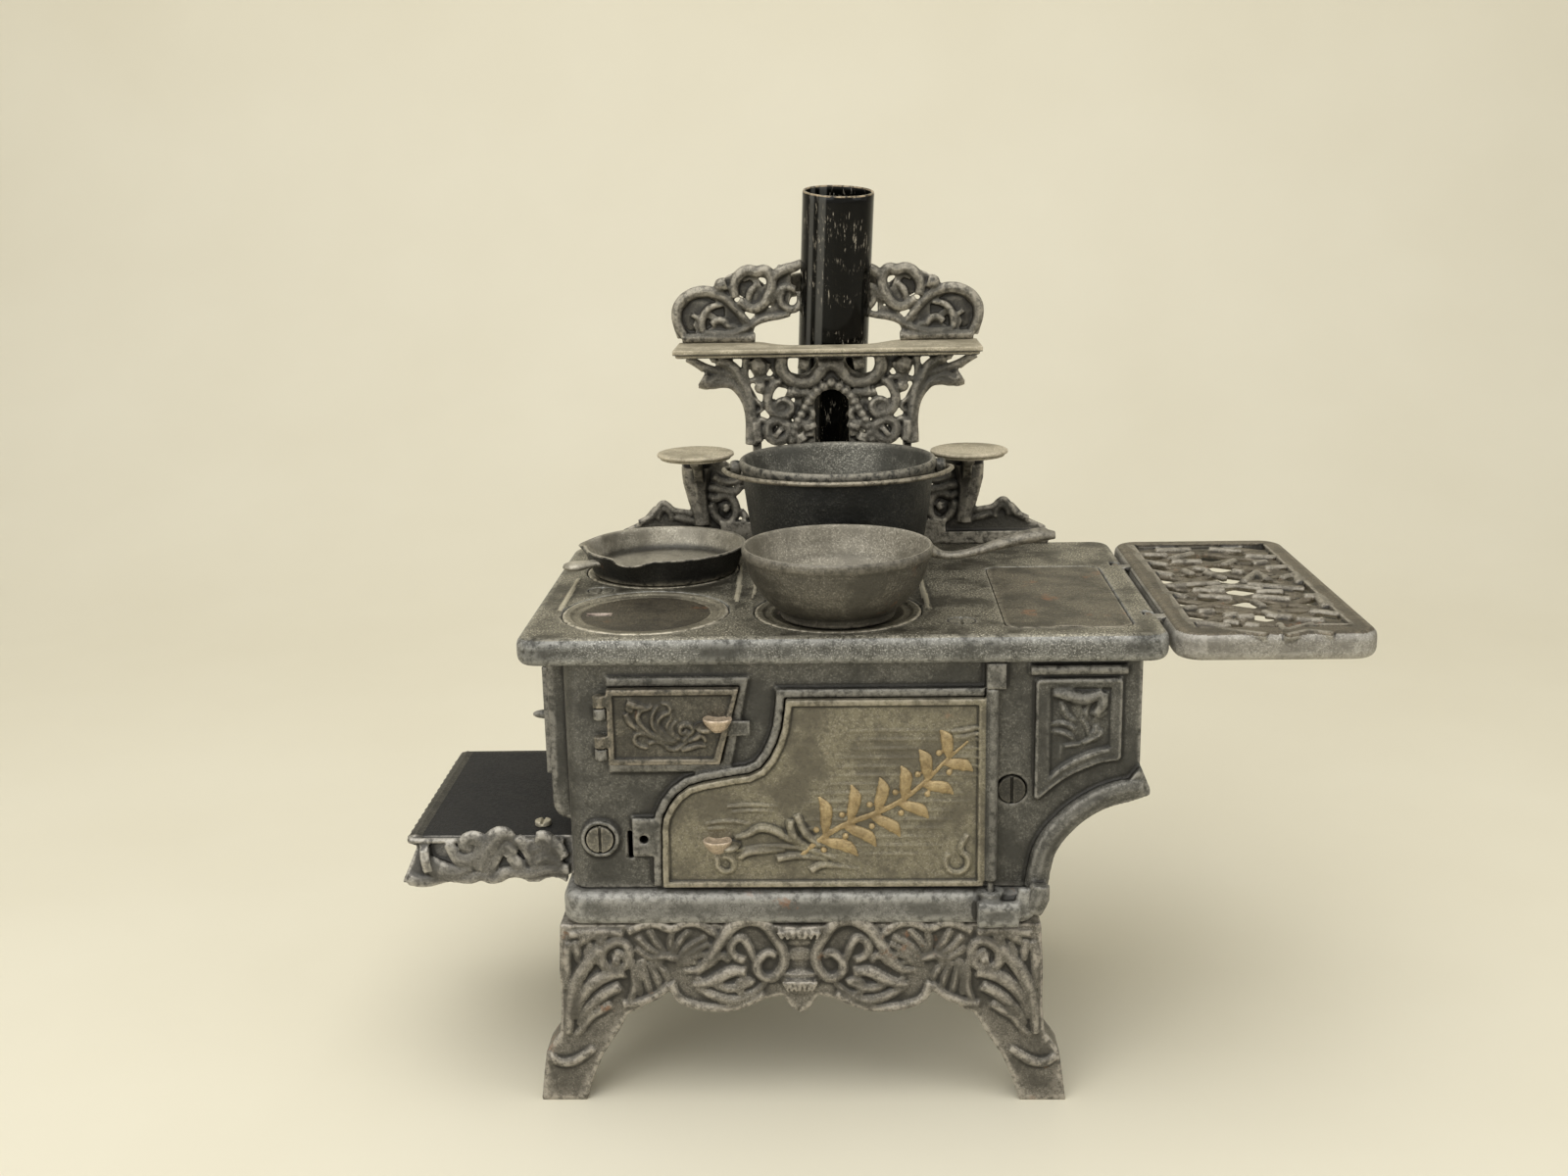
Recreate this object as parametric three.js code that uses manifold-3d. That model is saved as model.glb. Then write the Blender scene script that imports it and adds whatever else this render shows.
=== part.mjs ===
// Cast iron toy kitchen stove with its cookware. Millimetres, +Z up, front towards -Y.
// While modelling, X is measured from the middle of the cooktop, Y back from its front
// edge and Z up from the floor; the last lines centre the whole on its own footprint.
import * as THREE from "three";
import { mergeVertices } from "three/addons/utils/BufferGeometryUtils.js";
import Module from "manifold-3d";

const wasm = await Module();
wasm.setup();

// Clearances
const seatGap = 0.3; // between two pieces that rest on each other
const cutOver = 1; // how far a cut runs past what it cuts
const turnGap = 0.5; // round a part that turns or slides
const weldReach = 0.0001; // vertices closer than this are one

// Cooktop
const topWidth = 212;
const topDepth = 138;
const topHeight = 168; // its upper face above the floor
const topPlate = 4;
const topCorner = 7;
const rimHeight = 9.5;
const rimWidth = 5;
const rimRound = 2.8;
const ribWidth = 1.3;
const ribHeight = 0.2;

// Body
const wall = 2.5;
const bodySetback = 6.3; // front face of the front panel behind the cooktop's edge
const bodyLeftIn = 14; // end faces inside the cooktop's edges
const bodyRightIn = 8;
const bodyCorner = 6;
const bellyRadius = 32.5;
const bellyAside = 2; // centre of the belly curve beyond the right side
const bellyUnder = 1.5; // centre of the belly curve below the body's bottom
const lipReach = 3.3;
const lipHeight = 12;
const lipDrop = 4;

// Base and legs
const legHeight = 66.3;
const baseHeight = 12.2;
const baseOut = 3; // base beyond the body's left end
const baseIn = 2.5; // and short of the belly at the right
const baseLedge = 4.3; // base moulding proud of the front panel
const baseFloor = 3;
const baseRound = 3;
const legSpan = 182; // over the outer edges of the feet
const apronPlate = 3.2;
const legDepth = 13;
const legInset = 2; // legs behind the front edge of the base moulding

// Doors
const doorPlate = 2.4;
const doorBead = 1;
const doorBeadWidth = 2;
const doorLap = 3.5; // door over the edge of its opening
const hingeRadius = 2.1;
const pinRadius = 1.1;
const pinLength = 1.8;
const pinGap = 0.3;
const knuckleHeight = 4;
const fireKnuckleIn = 6;
const fireIn = 15; // from the body's left end
const fireWidth = 43.5;
const fireHeight = 26;
const fireDrop = 18; // its top below the cooktop's face
const fireSlant = 6.8; // lower right corner drawn in
const ovenLeftIn = 31.5; // from the body's left end
const ovenRightIn = 18.2; // from the base's right end
const ovenDrop = 22;
const ovenRise = 1.5; // its lower edge above the body's bottom
const bandWidth = 3.2;
const bandProud = 2.2;
const keeperOut = 9.9; // left of the oven door
const keeperWidth = 7.6;
const keeperHeight = 13.5;
const keeperRise = 12.5; // above the base
const keeperHole = 1.5;
const keeperSlot = 1.8;
const knobReach = 5.5;
const knobWidth = 7.5;
const knobHeight = 3.4;
const hoodReach = 7;
const hoodFront = 18;
const hoodBack = 100;
const hoodRise = 20.5; // above the base
const endDoorMargin = 7;

// Firebox, oven and reservoir
const shellWall = 2.2;
const grateDrop = 43; // below the cooktop's face
const grateThick = 2.5;
const grateOver = 0.5; // past the fire door's edge
const grateSlot = 3.4;
const grateSlots = 7;
const ledgeReach = 4;
const tankIn = 5.5; // inside the cover's left edge
const tankDrop = 51;
const tankWall = 2;
const coverIn = 10.5; // from the cooktop's right edge
const coverWidth = 41.5;
const coverFront = 10;
const coverBack = 94;
const coverThick = 2.4;
const coverCorner = 5;
const coverSeat = 4;
const panelInset = 3; // fixed ornamental panel in front of the reservoir
const panelProud = 1.6;
const panelIn = 7; // from the body's right end
const panelWidth = 26;
const panelDrop = 16;

// Lids
const lidRadius = 28.4;
const lidThick = 2.6;
const lidSeat = 3.2;
const lidDish = 0.7;
const lidRing = 2.6;
const lidIn = 39.5; // left lids' centre from the cooktop's left edge
const lidPitch = 65.6;
const lidFrontY = 34;
const lidRearY = 95.5;
const lifterLength = 8;
const lifterWidth = 3;
const lifterDepth = 1.2;
const lifterOut = 16;

// Side shelf and hearth shelf
const sideGap = 1.4;
const sideWidth = 65.4;
const sideDepth = 137;
const sideFrame = 8;
const sidePlate = 3;
const sideCorner = 9;
const stickWidth = 3.4;
const stickThick = 1.8;
const sticksAcross = 9;
const hookWidth = 5;
const hookPin = 1.5;
const hookInset = 3;
const hookFrontY = 27;
const hookRearY = 98;
const hearthRise = 13.5; // above the base
const hearthReach = 52;
const hearthFront = 21;
const hearthBack = 106;
const hearthPlate = 2.6;
const hearthDrop = 16;
const hearthFlare = 7;
const hearthWave = 1.6;
const hearthScrewIn = 9;

// Fasteners
const boltRadius = 1.6;
const boltHead = 4.6;
const boltHeadThick = 1.8;
const boltRing = 1.4;
const boltSlot = 0.9;
const leftBoltIn = 10.6;
const leftBoltRise = 18.5;
const rightBoltOut = 9.2; // right of the oven door
const rightBoltRise = 35;
const nutSize = 7.5;
const nutThick = 3;
const topScrewHead = 4.4;
const topScrewThick = 1.3;
const topScrewLength = 9;
const leftScrewIn = 20; // from the cooktop's left edge
const leftScrewY = 65;
const rightScrewOut = 14; // left of the reservoir cover
const rightScrewY = 19;

// Back guard, shelves and pipe
const guardMiddle = -2.8;
const guardY = 134.5; // front face of the guard plate
const guardPlate = 3;
const guardHalf = 31.6;
const guardHeight = 75.7; // above the cooktop's face
const ledgeHalf = 85;
const ledgeHeight = 5;
const plinthHalf = 44.4;
const plinthHeight = 10;
const scrollWidth = 3;
const archHalf = 6.6;
const archDrop = 12.2; // below the guard's top
const archHeight = 28.5;
const trivetRadius = 14.8;
const trivetThick = 2.6;
const trivetRise = 40.6; // above the cooktop's face
const trivetAside = 52.4;
const trivetY = 120;
const armWidth = 3.4;
const shelfMiddle = -4.2;
const shelfWidth = 118;
const shelfThick = 3;
const shelfStep = 1.1;
const shelfFront = 122.6;
const crestY = 149.6;
const crestPlate = 3;
const crestGapHalf = 17.4;
const crestRingHeight = 9;
const pipeRadius = 13.8;
const pipeWall = 1;
const pipeLeanBack = 0.1405; // travel towards the front for each unit of height
const pipeLeanSide = 0.045;
const pipeRise = 136; // above the cooktop's face
const pipeShelfY = 152.6;
const pipeShelfX = -1.9;
const collarHeight = 8;
const collarWall = 2;
const collarGap = 1.5;
const fluePlate = 2.6;
const flueHeight = 28;

// Cookware
const panForward = 7; // in front of its lid's centre
const panRadius = 32;
const panHeight = 24;
const panWall = 1.8;
const panFoot = 21.5;
const footHeight = 2.4;
const panHandleLength = 44;
const panHandleRise = 6;
const panHandleWidth = 8.5;
const panHandleThick = 3.2;
const potAside = 0.3; // from its lid's centre
const potForward = 0.5;
const potRadius = 35.4;
const potFoot = 29.5;
const potHeight = 42;
const potWall = 2;
const potLip = 1;
const earReach = 4.6;
const earWidth = 6;
const earHole = 1.4;
const earDrop = 3.8;
const bailWire = 0.9;
const bailFront = 39;
const skilletAside = 1;
const skilletForward = 1.5;
const skilletRadius = 30.5;
const skilletFoot = 26.5;
const skilletHeight = 10.5;
const skilletWall = 1.9;
const spoutReach = 2.6;
const skilletHandleLength = 13;
const skilletHandleWidth = 7;
const spoutTurns = [169, 252]; // degrees
const skilletHandleTurn = 215; // degrees

// Places worked out from the sizes above
const topUnder = topHeight - topPlate;
const bodyLeft = bodyLeftIn - topWidth / 2;
const bodyRight = topWidth / 2 - bodyRightIn;
const rimBottom = topHeight - rimHeight;
const bodyTop = topUnder - seatGap;
const baseTop = legHeight + baseHeight;
const bodyBottom = baseTop + seatGap;
const frontY = bodySetback;
const panelBackY = frontY + wall;
const bodyBackY = topDepth - rimWidth - seatGap;
const backInY = bodyBackY - wall;
const baseLeft = bodyLeft - baseOut;
const bellyX = bodyRight + bellyAside;
const baseRight = bellyX - bellyRadius - baseIn;
const baseMiddle = (baseLeft + baseRight) / 2;
const fireLeft = bodyLeft + fireIn;
const fireRight = fireLeft + fireWidth;
const fireTop = topHeight - fireDrop;
const fireBottom = fireTop - fireHeight;
const ovenLeft = bodyLeft + ovenLeftIn;
const ovenRight = baseRight - ovenRightIn;
const ovenTop = topHeight - ovenDrop;
const ovenBottom = bodyBottom + ovenRise;
const keeperLeft = ovenLeft - keeperOut;
const keeperRight = keeperLeft + keeperWidth;
const keeperBottom = baseTop + keeperRise;
const keeperTop = keeperBottom + keeperHeight;
const hoodBottom = baseTop + hoodRise;
const grateBottom = topHeight - grateDrop;
const grateRight = fireRight + grateOver;
const coverRight = topWidth / 2 - coverIn;
const coverLeft = coverRight - coverWidth;
const tankLeft = coverLeft + tankIn;
const tankBottom = topHeight - tankDrop;
const panelRight = bodyRight - panelIn;
const panelLeft = panelRight - panelWidth;
const panelTop = topHeight - panelDrop;
const lidLeftX = lidIn - topWidth / 2;
const lidRightX = lidLeftX + lidPitch;
const hearthTop = baseTop + hearthRise;
const leftBoltX = bodyLeft + leftBoltIn;
const leftBoltZ = baseTop + leftBoltRise;
const rightBoltX = ovenRight + rightBoltOut;
const rightBoltZ = baseTop + rightBoltRise;
const leftScrewX = leftScrewIn - topWidth / 2;
const rightScrewX = coverLeft - rightScrewOut;
const bellyZ = bodyBottom - bellyUnder;
const doorBackY = frontY - seatGap;
const hingeY = frontY - hingeRadius - turnGap;
const ovenHingeX = ovenRight + hingeRadius + seatGap;
const fireHingeX = fireLeft - hingeRadius - seatGap;
const endFaceX = bodyLeft - hoodReach;
const endHingeX = endFaceX - hingeRadius - turnGap;
const endHingeY = hoodBack - hingeRadius;
const endDoorFront = hoodFront + endDoorMargin;
const endDoorBottom = hoodBottom + 2 * endDoorMargin;
const endDoorTop = rimBottom - endDoorMargin;
const fireKnuckles = [fireBottom + fireKnuckleIn, fireTop - fireKnuckleIn];
const hookX = topWidth / 2 - hookInset;
const hookZ = topHeight - hookPin - turnGap / 2;
const sideLeft = topWidth / 2 + sideGap;
const collarTop = topHeight;
const lowestPipe = collarTop - collarHeight;
const setOnTop = topHeight + seatGap;
const guardTop = topHeight + guardHeight;
const archTop = guardTop - archDrop;
const archBottom = archTop - archHeight;
const trivetTop = topHeight + trivetRise;
const pipeTop = topHeight + pipeRise;
const shelfBottom = guardTop + seatGap;
const shelfTop = shelfBottom + shelfThick;
const crestBottom = shelfTop + seatGap;
const pipeX = (z) => pipeShelfX + (z - shelfTop) * pipeLeanSide;
const pipeY = (z) => pipeShelfY - (z - shelfTop) * pipeLeanBack;
const collarX = pipeX(collarTop);
const collarY = pipeY(collarTop);
const panX = lidRightX;
const panY = lidFrontY - panForward;
const potX = lidRightX + potAside;
const potY = lidRearY - potForward;
const skilletX = lidLeftX + skilletAside;
const skilletY = lidRearY - skilletForward;
const deg = Math.PI / 180;

// Turns a three.js geometry into a solid
function solid(geometry) {
  const bare = geometry.clone();
  bare.deleteAttribute("normal");
  bare.deleteAttribute("uv");
  const merged = mergeVertices(bare, weldReach);
  return new wasm.Manifold(
    new wasm.Mesh({
      numProp: 3,
      vertProperties: merged.attributes.position.array,
      triVerts: new Uint32Array(merged.index.array),
    }),
  );
}

function join(parts) {
  return parts.reduce((whole, part) => whole.add(part));
}

// A block between two corners
function block(x0, x1, y0, y1, z0, z1) {
  const shape = new THREE.BoxGeometry(x1 - x0, y1 - y0, z1 - z0);
  return solid(shape.translate((x0 + x1) / 2, (y0 + y1) / 2, (z0 + z1) / 2));
}

// Cylinders along each axis; the first values are the centre in the other two
function rodZ(x, y, z0, z1, radius, sides = 32) {
  const shape = new THREE.CylinderGeometry(radius, radius, z1 - z0, sides);
  return solid(shape.rotateX(90 * deg).translate(x, y, (z0 + z1) / 2));
}
function rodY(x, z, y0, y1, radius, sides = 24) {
  const shape = new THREE.CylinderGeometry(radius, radius, y1 - y0, sides);
  return solid(shape.translate(x, (y0 + y1) / 2, z));
}
function rodX(y, z, x0, x1, radius, sides = 20) {
  const shape = new THREE.CylinderGeometry(radius, radius, x1 - x0, sides);
  return solid(shape.rotateZ(90 * deg).translate((x0 + x1) / 2, y, z));
}

function outline(points) {
  return new THREE.Shape(points.map(([a, b]) => new THREE.Vector2(a, b)));
}

// A flat plate cut to an outline: standing (XZ), lying (XY) or endways (YZ)
function standing(shape, y0, y1, segments = 8) {
  const made = new THREE.ExtrudeGeometry(shape, {
    depth: y1 - y0, bevelEnabled: false, curveSegments: segments,
  });
  return solid(made.rotateX(90 * deg).translate(0, y1, 0));
}
function lying(shape, z0, z1, segments = 8) {
  const made = new THREE.ExtrudeGeometry(shape, {
    depth: z1 - z0, bevelEnabled: false, curveSegments: segments,
  });
  return solid(made.translate(0, 0, z0));
}
function endways(shape, x0, x1, segments = 8) {
  const made = new THREE.ExtrudeGeometry(shape, {
    depth: x1 - x0, bevelEnabled: false, curveSegments: segments,
  });
  const turn = new THREE.Matrix4().makeBasis(
    new THREE.Vector3(0, 1, 0), new THREE.Vector3(0, 0, 1), new THREE.Vector3(1, 0, 0),
  );
  return solid(made.applyMatrix4(turn).translate(x0, 0, 0));
}

// A lying slab with rounded corners and rounded upper and lower edges
function slab(x0, x1, y0, y1, z0, z1, corner, round) {
  const shape = roundedRect(x0 + round, x1 - round, y0 + round, y1 - round, corner - round);
  const made = new THREE.ExtrudeGeometry(shape, {
    depth: z1 - z0 - 2 * round, bevelSize: round, bevelThickness: round,
    bevelSegments: 3, curveSegments: 5,
  });
  return solid(made.translate(0, 0, z0 + round));
}
function roundedRect(x0, x1, y0, y1, r) {
  const shape = new THREE.Shape();
  shape.absarc(x1 - r, y0 + r, r, -90 * deg, 0, false);
  shape.absarc(x1 - r, y1 - r, r, 0, 90 * deg, false);
  shape.absarc(x0 + r, y1 - r, r, 90 * deg, 180 * deg, false);
  shape.absarc(x0 + r, y0 + r, r, 180 * deg, 270 * deg, false);
  return shape;
}

// Points of a smooth open line through the given places
function smooth(points, steps) {
  const line = new THREE.SplineCurve(points.map(([a, b]) => new THREE.Vector2(a, b)));
  return line.getPoints(steps).map((p) => [p.x, p.y]);
}

// A band of even or tapering width along a line, as an outline
function band(points, startWidth, endWidth = startWidth) {
  const left = [];
  const right = [];
  points.forEach(([x, z], i) => {
    const [ax, az] = points[Math.max(i - 1, 0)];
    const [bx, bz] = points[Math.min(i + 1, points.length - 1)];
    const long = Math.hypot(bx - ax, bz - az);
    const half = (startWidth + ((endWidth - startWidth) * i) / (points.length - 1)) / 2;
    const sideX = (-(bz - az) / long) * half;
    const sideZ = ((bx - ax) / long) * half;
    left.push([x + sideX, z + sideZ]);
    right.unshift([x - sideX, z - sideZ]);
  });
  return outline([...left, ...right]);
}

// Points of an arc, counted in degrees from +X, whose radius may change on the way
function arcLine(x, z, startRadius, from, to, steps, endRadius = startRadius) {
  return Array.from({ length: steps + 1 }, (_, i) => {
    const angle = (from + ((to - from) * i) / steps) * deg;
    const radius = startRadius + ((endRadius - startRadius) * i) / steps;
    return [x + radius * Math.cos(angle), z + radius * Math.sin(angle)];
  });
}

// A closed profile of [radius, height] turned about Z
function turned(profile, sides) {
  const ring = [...profile, profile[0]].map(([r, z]) => new THREE.Vector2(r, z));
  return new THREE.LatheGeometry(ring, sides).rotateX(90 * deg);
}

const stove = new THREE.Group();
const castIron = { color: 0x3a3733, roughness: 0.62, metalness: 0.75 };
const darkIron = { color: 0x242321, roughness: 0.8, metalness: 0.5 };
const wornIron = { color: 0x55503f, roughness: 0.55, metalness: 0.7 };
const skilletIron = { color: 0x474540, roughness: 0.6, metalness: 0.75 };
const blackPaint = { color: 0x0b0b0b, roughness: 0.18, metalness: 0.3 };
const brightSteel = { color: 0x8f8878, roughness: 0.35, metalness: 0.95 };

function piece(name, made, finish) {
  const data = made.getMesh();
  const shape = new THREE.BufferGeometry();
  const places = new THREE.BufferAttribute(new Float32Array(data.vertProperties), 3);
  shape.setAttribute("position", places);
  shape.setIndex(new THREE.BufferAttribute(new Uint32Array(data.triVerts), 1));
  const flat = shape.toNonIndexed();
  flat.computeVertexNormals();
  const mesh = new THREE.Mesh(flat, new THREE.MeshStandardMaterial(finish));
  mesh.name = name;
  stove.add(mesh);
}

// Leg frame: half outline from the middle of the apron to the foot, as shares of
// half the leg span and of the leg height
const legEdgeShares = [
  [0, 0.5], [0.035, 0.53], [0.065, 0.6], [0.12, 0.585], [0.2, 0.54], [0.29, 0.53], [0.38, 0.55],
  [0.45, 0.6], [0.495, 0.675], [0.54, 0.6], [0.6, 0.53], [0.65, 0.5], [0.69, 0.4], [0.755, 0.26],
  [0.795, 0.13], [0.825, 0], [1, 0], [0.985, 0.16], [0.972, 0.28], [0.945, 0.335], [0.915, 0.39],
  [0.905, 0.55], [0.905, 0.76], [0.895, 1],
];
const apronDepthShare = 0.46; // how far down the thick upper part of the leg reaches

function legFrame(frontFace, backwards) {
  const half = legSpan / 2;
  const edge = legEdgeShares.map(([x, z]) => [x * half, z * legHeight]);
  const left = edge.map(([x, z]) => [baseMiddle - x, z]).reverse();
  const whole = outline([...left, ...edge.slice(1).map(([x, z]) => [baseMiddle + x, z])]);
  const from = (depth) => (backwards ? [frontFace - depth, frontFace] : [frontFace, frontFace + depth]);
  const face = standing(whole, ...from(apronPlate));
  const legs = edge.filter(([x]) => x > half * 0.6);
  const corners = [-1, 1].map((side) => {
    const column = [...legs, [half * 0.8, legHeight], [half * 0.8, legHeight * apronDepthShare]];
    const shape = outline(column.map(([x, z]) => [baseMiddle + side * x, z]));
    return standing(shape, ...from(legDepth));
  });
  return join([face, ...corners]);
}

function baseMoulding() {
  const y0 = frontY - baseLedge;
  const y1 = bodyBackY + baseLedge;
  const outer = slab(baseLeft, baseRight, y0, y1, legHeight + seatGap, baseTop, topCorner, baseRound);
  const well = block(
    baseLeft + rimWidth, baseRight - rimWidth, y0 + rimWidth, y1 - rimWidth,
    legHeight - cutOver, baseTop - baseFloor,
  );
  const cupX = ovenRight + doorPlate;
  const cup = rodZ(cupX, hingeY, legHeight + seatGap, baseTop + seatGap, 2 * hingeRadius, 24);
  const socket = rodZ(
    cupX, hingeY, baseTop - pinLength - seatGap, baseTop + cutOver, pinRadius + pinGap, 12,
  );
  return outer.subtract(well).add(cup).subtract(socket);
}

// The end-on outline shared by the front and back panels
function bodyOutline(leftEdge) {
  const shape = new THREE.Shape();
  shape.moveTo(leftEdge, bodyTop);
  shape.lineTo(leftEdge, bodyBottom);
  bellyCurve(shape, bellyRadius);
  shape.lineTo(bodyRight + lipReach, bellyZ + bellyRadius + lipDrop / 2);
  shape.lineTo(bodyRight + lipReach, bellyZ + bellyRadius + lipDrop);
  shape.lineTo(bodyRight, bellyZ + bellyRadius + lipHeight);
  shape.lineTo(bodyRight, bodyTop);
  return shape;
}
function bellyCurve(shape, radius) {
  const start = 180 - Math.asin((bodyBottom - bellyZ) / radius) / deg;
  shape.absarc(bellyX, bellyZ, radius, start * deg, 100 * deg, true);
}

function ovenOutline(grow) {
  const l = ovenLeft;
  const w = ovenRight - ovenLeft;
  const h = ovenTop - ovenBottom;
  const curve = smooth(ovenCurveShares.map(([x, z]) => [l + x * w, ovenBottom + z * h]), 18);
  const grown = offsetLine(curve, grow);
  grown[0] = [l - grow, ovenBottom - Math.min(grow, 0)];
  return outline([
    [ovenRight + Math.min(grow, 0), ovenBottom - Math.min(grow, 0)],
    [ovenRight + Math.min(grow, 0), ovenTop + grow],
    [grown[grown.length - 1][0], ovenTop + grow], ...grown.reverse(),
  ]);
}
// The curved left side of the oven door, as shares of its width and height
const ovenCurveShares = [
  [0, 0], [0.003, 0.22], [0.012, 0.385], [0.08, 0.53], [0.2, 0.583], [0.31, 0.625], [0.375, 0.8],
  [0.395, 1],
];
function offsetLine(points, grow) {
  return points.map(([x, z], i) => {
    const [ax, az] = points[Math.max(i - 1, 0)];
    const [bx, bz] = points[Math.min(i + 1, points.length - 1)];
    const long = Math.hypot(bx - ax, bz - az);
    return [x - ((bz - az) / long) * grow, z + ((bx - ax) / long) * grow];
  });
}
function fireOutline(grow) {
  return outline([
    [fireLeft - grow, fireBottom - grow], [fireRight - fireSlant + grow, fireBottom - grow],
    [fireRight + grow, fireTop + grow], [fireLeft - grow, fireTop + grow],
  ]);
}

function frontPanel() {
  const plate = standing(bodyOutline(bodyLeft + bodyCorner), frontY, panelBackY, 16);
  const middle = [bodyLeft + bodyCorner, frontY + bodyCorner];
  const bend = new THREE.Shape();
  bend.absarc(...middle, bodyCorner, 180 * deg, 275 * deg, false);
  bend.absarc(...middle, bodyCorner - wall, 275 * deg, 180 * deg, true);
  const corner = lying(bend, bodyBottom, bodyTop, 6);
  const ovenBand = standing(ovenOutline(bandWidth), frontY - bandProud, panelBackY);
  const fireBand = standing(fireOutline(bandWidth), frontY - bandProud / 2, panelBackY);
  const lug = block(
    ovenRight + seatGap, ovenHingeX + 2 * hingeRadius, hingeY - hingeRadius, panelBackY,
    ovenTop + bandWidth + seatGap, rimBottom - seatGap,
  );
  const rim = new THREE.Shape();
  bellyCurve(rim, bellyRadius);
  rim.lineTo(bodyRight + lipReach, bellyZ + bellyRadius + lipDrop / 2);
  rim.lineTo(bodyRight + lipReach, bellyZ + bellyRadius + lipDrop);
  rim.lineTo(bodyRight, bellyZ + bellyRadius + lipHeight);
  rim.absarc(bellyX, bellyZ, bellyRadius + 2 * bandWidth, 100 * deg, 168 * deg, false);
  const bellyRim = standing(rim, frontY - bandProud, panelBackY, 16);
  const front = frontY - bandProud;
  const keeper = block(keeperLeft, keeperRight, front, panelBackY, keeperBottom, keeperTop);
  const ring = rodY(
    leftBoltX, leftBoltZ, frontY - boltHeadThick, panelBackY, boltHead + turnGap + boltRing,
  );
  const picture = standing(reservoirOutline(0), frontY - panelProud, panelBackY);
  const hinges = fireKnuckles.map((z) => rodZ(
    fireHingeX, hingeY, z - knuckleHeight - seatGap, z - seatGap, hingeRadius, 16,
  ).add(block(
    fireHingeX - hingeRadius, fireHingeX, hingeY, panelBackY, z - knuckleHeight - seatGap, z - seatGap,
  )));
  const clear = front - cutOver;
  const ovenHole = standing(ovenOutline(-doorLap), clear, panelBackY + cutOver);
  const fireHole = standing(fireOutline(-doorLap), clear, panelBackY + cutOver);
  const slot = block(
    keeperLeft - keeperSlot, keeperLeft, clear, panelBackY + cutOver, keeperBottom - keeperHole,
    keeperTop - rimWidth,
  );
  return join([plate, corner, ovenBand, fireBand, lug, bellyRim, keeper, ring, picture])
    .subtract(standing(ovenOutline(turnGap), clear, frontY))
    .subtract(standing(fireOutline(turnGap), clear, frontY))
    .subtract(block(
      fireLeft - 2 * bandWidth, fireLeft, clear, frontY, fireBottom - bandWidth,
      fireTop + bandWidth,
    ))
    .add(join(hinges))
    .subtract(join(fireKnuckles.map((z) => socket(fireHingeX, z))))
    .subtract(socket(ovenHingeX, ovenTop + bandWidth + seatGap + pinLength + seatGap))
    .subtract(ovenHole).subtract(fireHole).subtract(slot)
    .subtract(rodY((keeperLeft + keeperRight) / 2, leftBoltZ, clear, panelBackY + cutOver, keeperHole))
    .subtract(rodY(leftBoltX, leftBoltZ, clear, frontY, boltHead + turnGap))
    .subtract(rodY(leftBoltX, leftBoltZ, clear, panelBackY + cutOver, boltRadius + turnGap, 20))
    .subtract(rodY(rightBoltX, rightBoltZ, clear, frontY + wall / 2, boltHead + turnGap))
    .subtract(rodY(rightBoltX, rightBoltZ, clear, panelBackY + cutOver, boltRadius + turnGap, 20))
    .subtract(standing(reservoirOutline(-panelInset), clear, frontY - panelProud / 2));
}
// The hole that a hinge pin ending at this height turns in
function socket(x, top) {
  return rodZ(x, hingeY, top - pinLength - 2 * seatGap, top, pinRadius + pinGap, 12);
}
function reservoirOutline(grow) {
  const shape = new THREE.Shape();
  const reach = bellyRadius + 5 * bandWidth - grow;
  const turn = (x) => Math.PI - Math.acos(Math.min(1, (bellyX - x) / reach));
  shape.absarc(bellyX, bellyZ, reach, turn(panelLeft - grow), turn(panelRight + grow), true);
  shape.lineTo(panelRight + grow, panelTop + grow);
  shape.lineTo(panelLeft - grow, panelTop + grow);
  return shape;
}

function backPanel() {
  const plate = standing(bodyOutline(bodyLeft), backInY, bodyBackY, 16);
  const half = pipeRadius;
  const flue = block(
    collarX - half, collarX + half, backInY - cutOver, bodyBackY + cutOver,
    rimBottom - flueHeight + fluePlate, rimBottom - 2 * fluePlate,
  );
  const clear = boltRadius + turnGap;
  return plate.subtract(flue)
    .subtract(rodY(leftBoltX, leftBoltZ, backInY - cutOver, bodyBackY + cutOver, clear, 20))
    .subtract(rodY(rightBoltX, rightBoltZ, backInY - cutOver, bodyBackY + cutOver, clear, 20));
}

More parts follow.
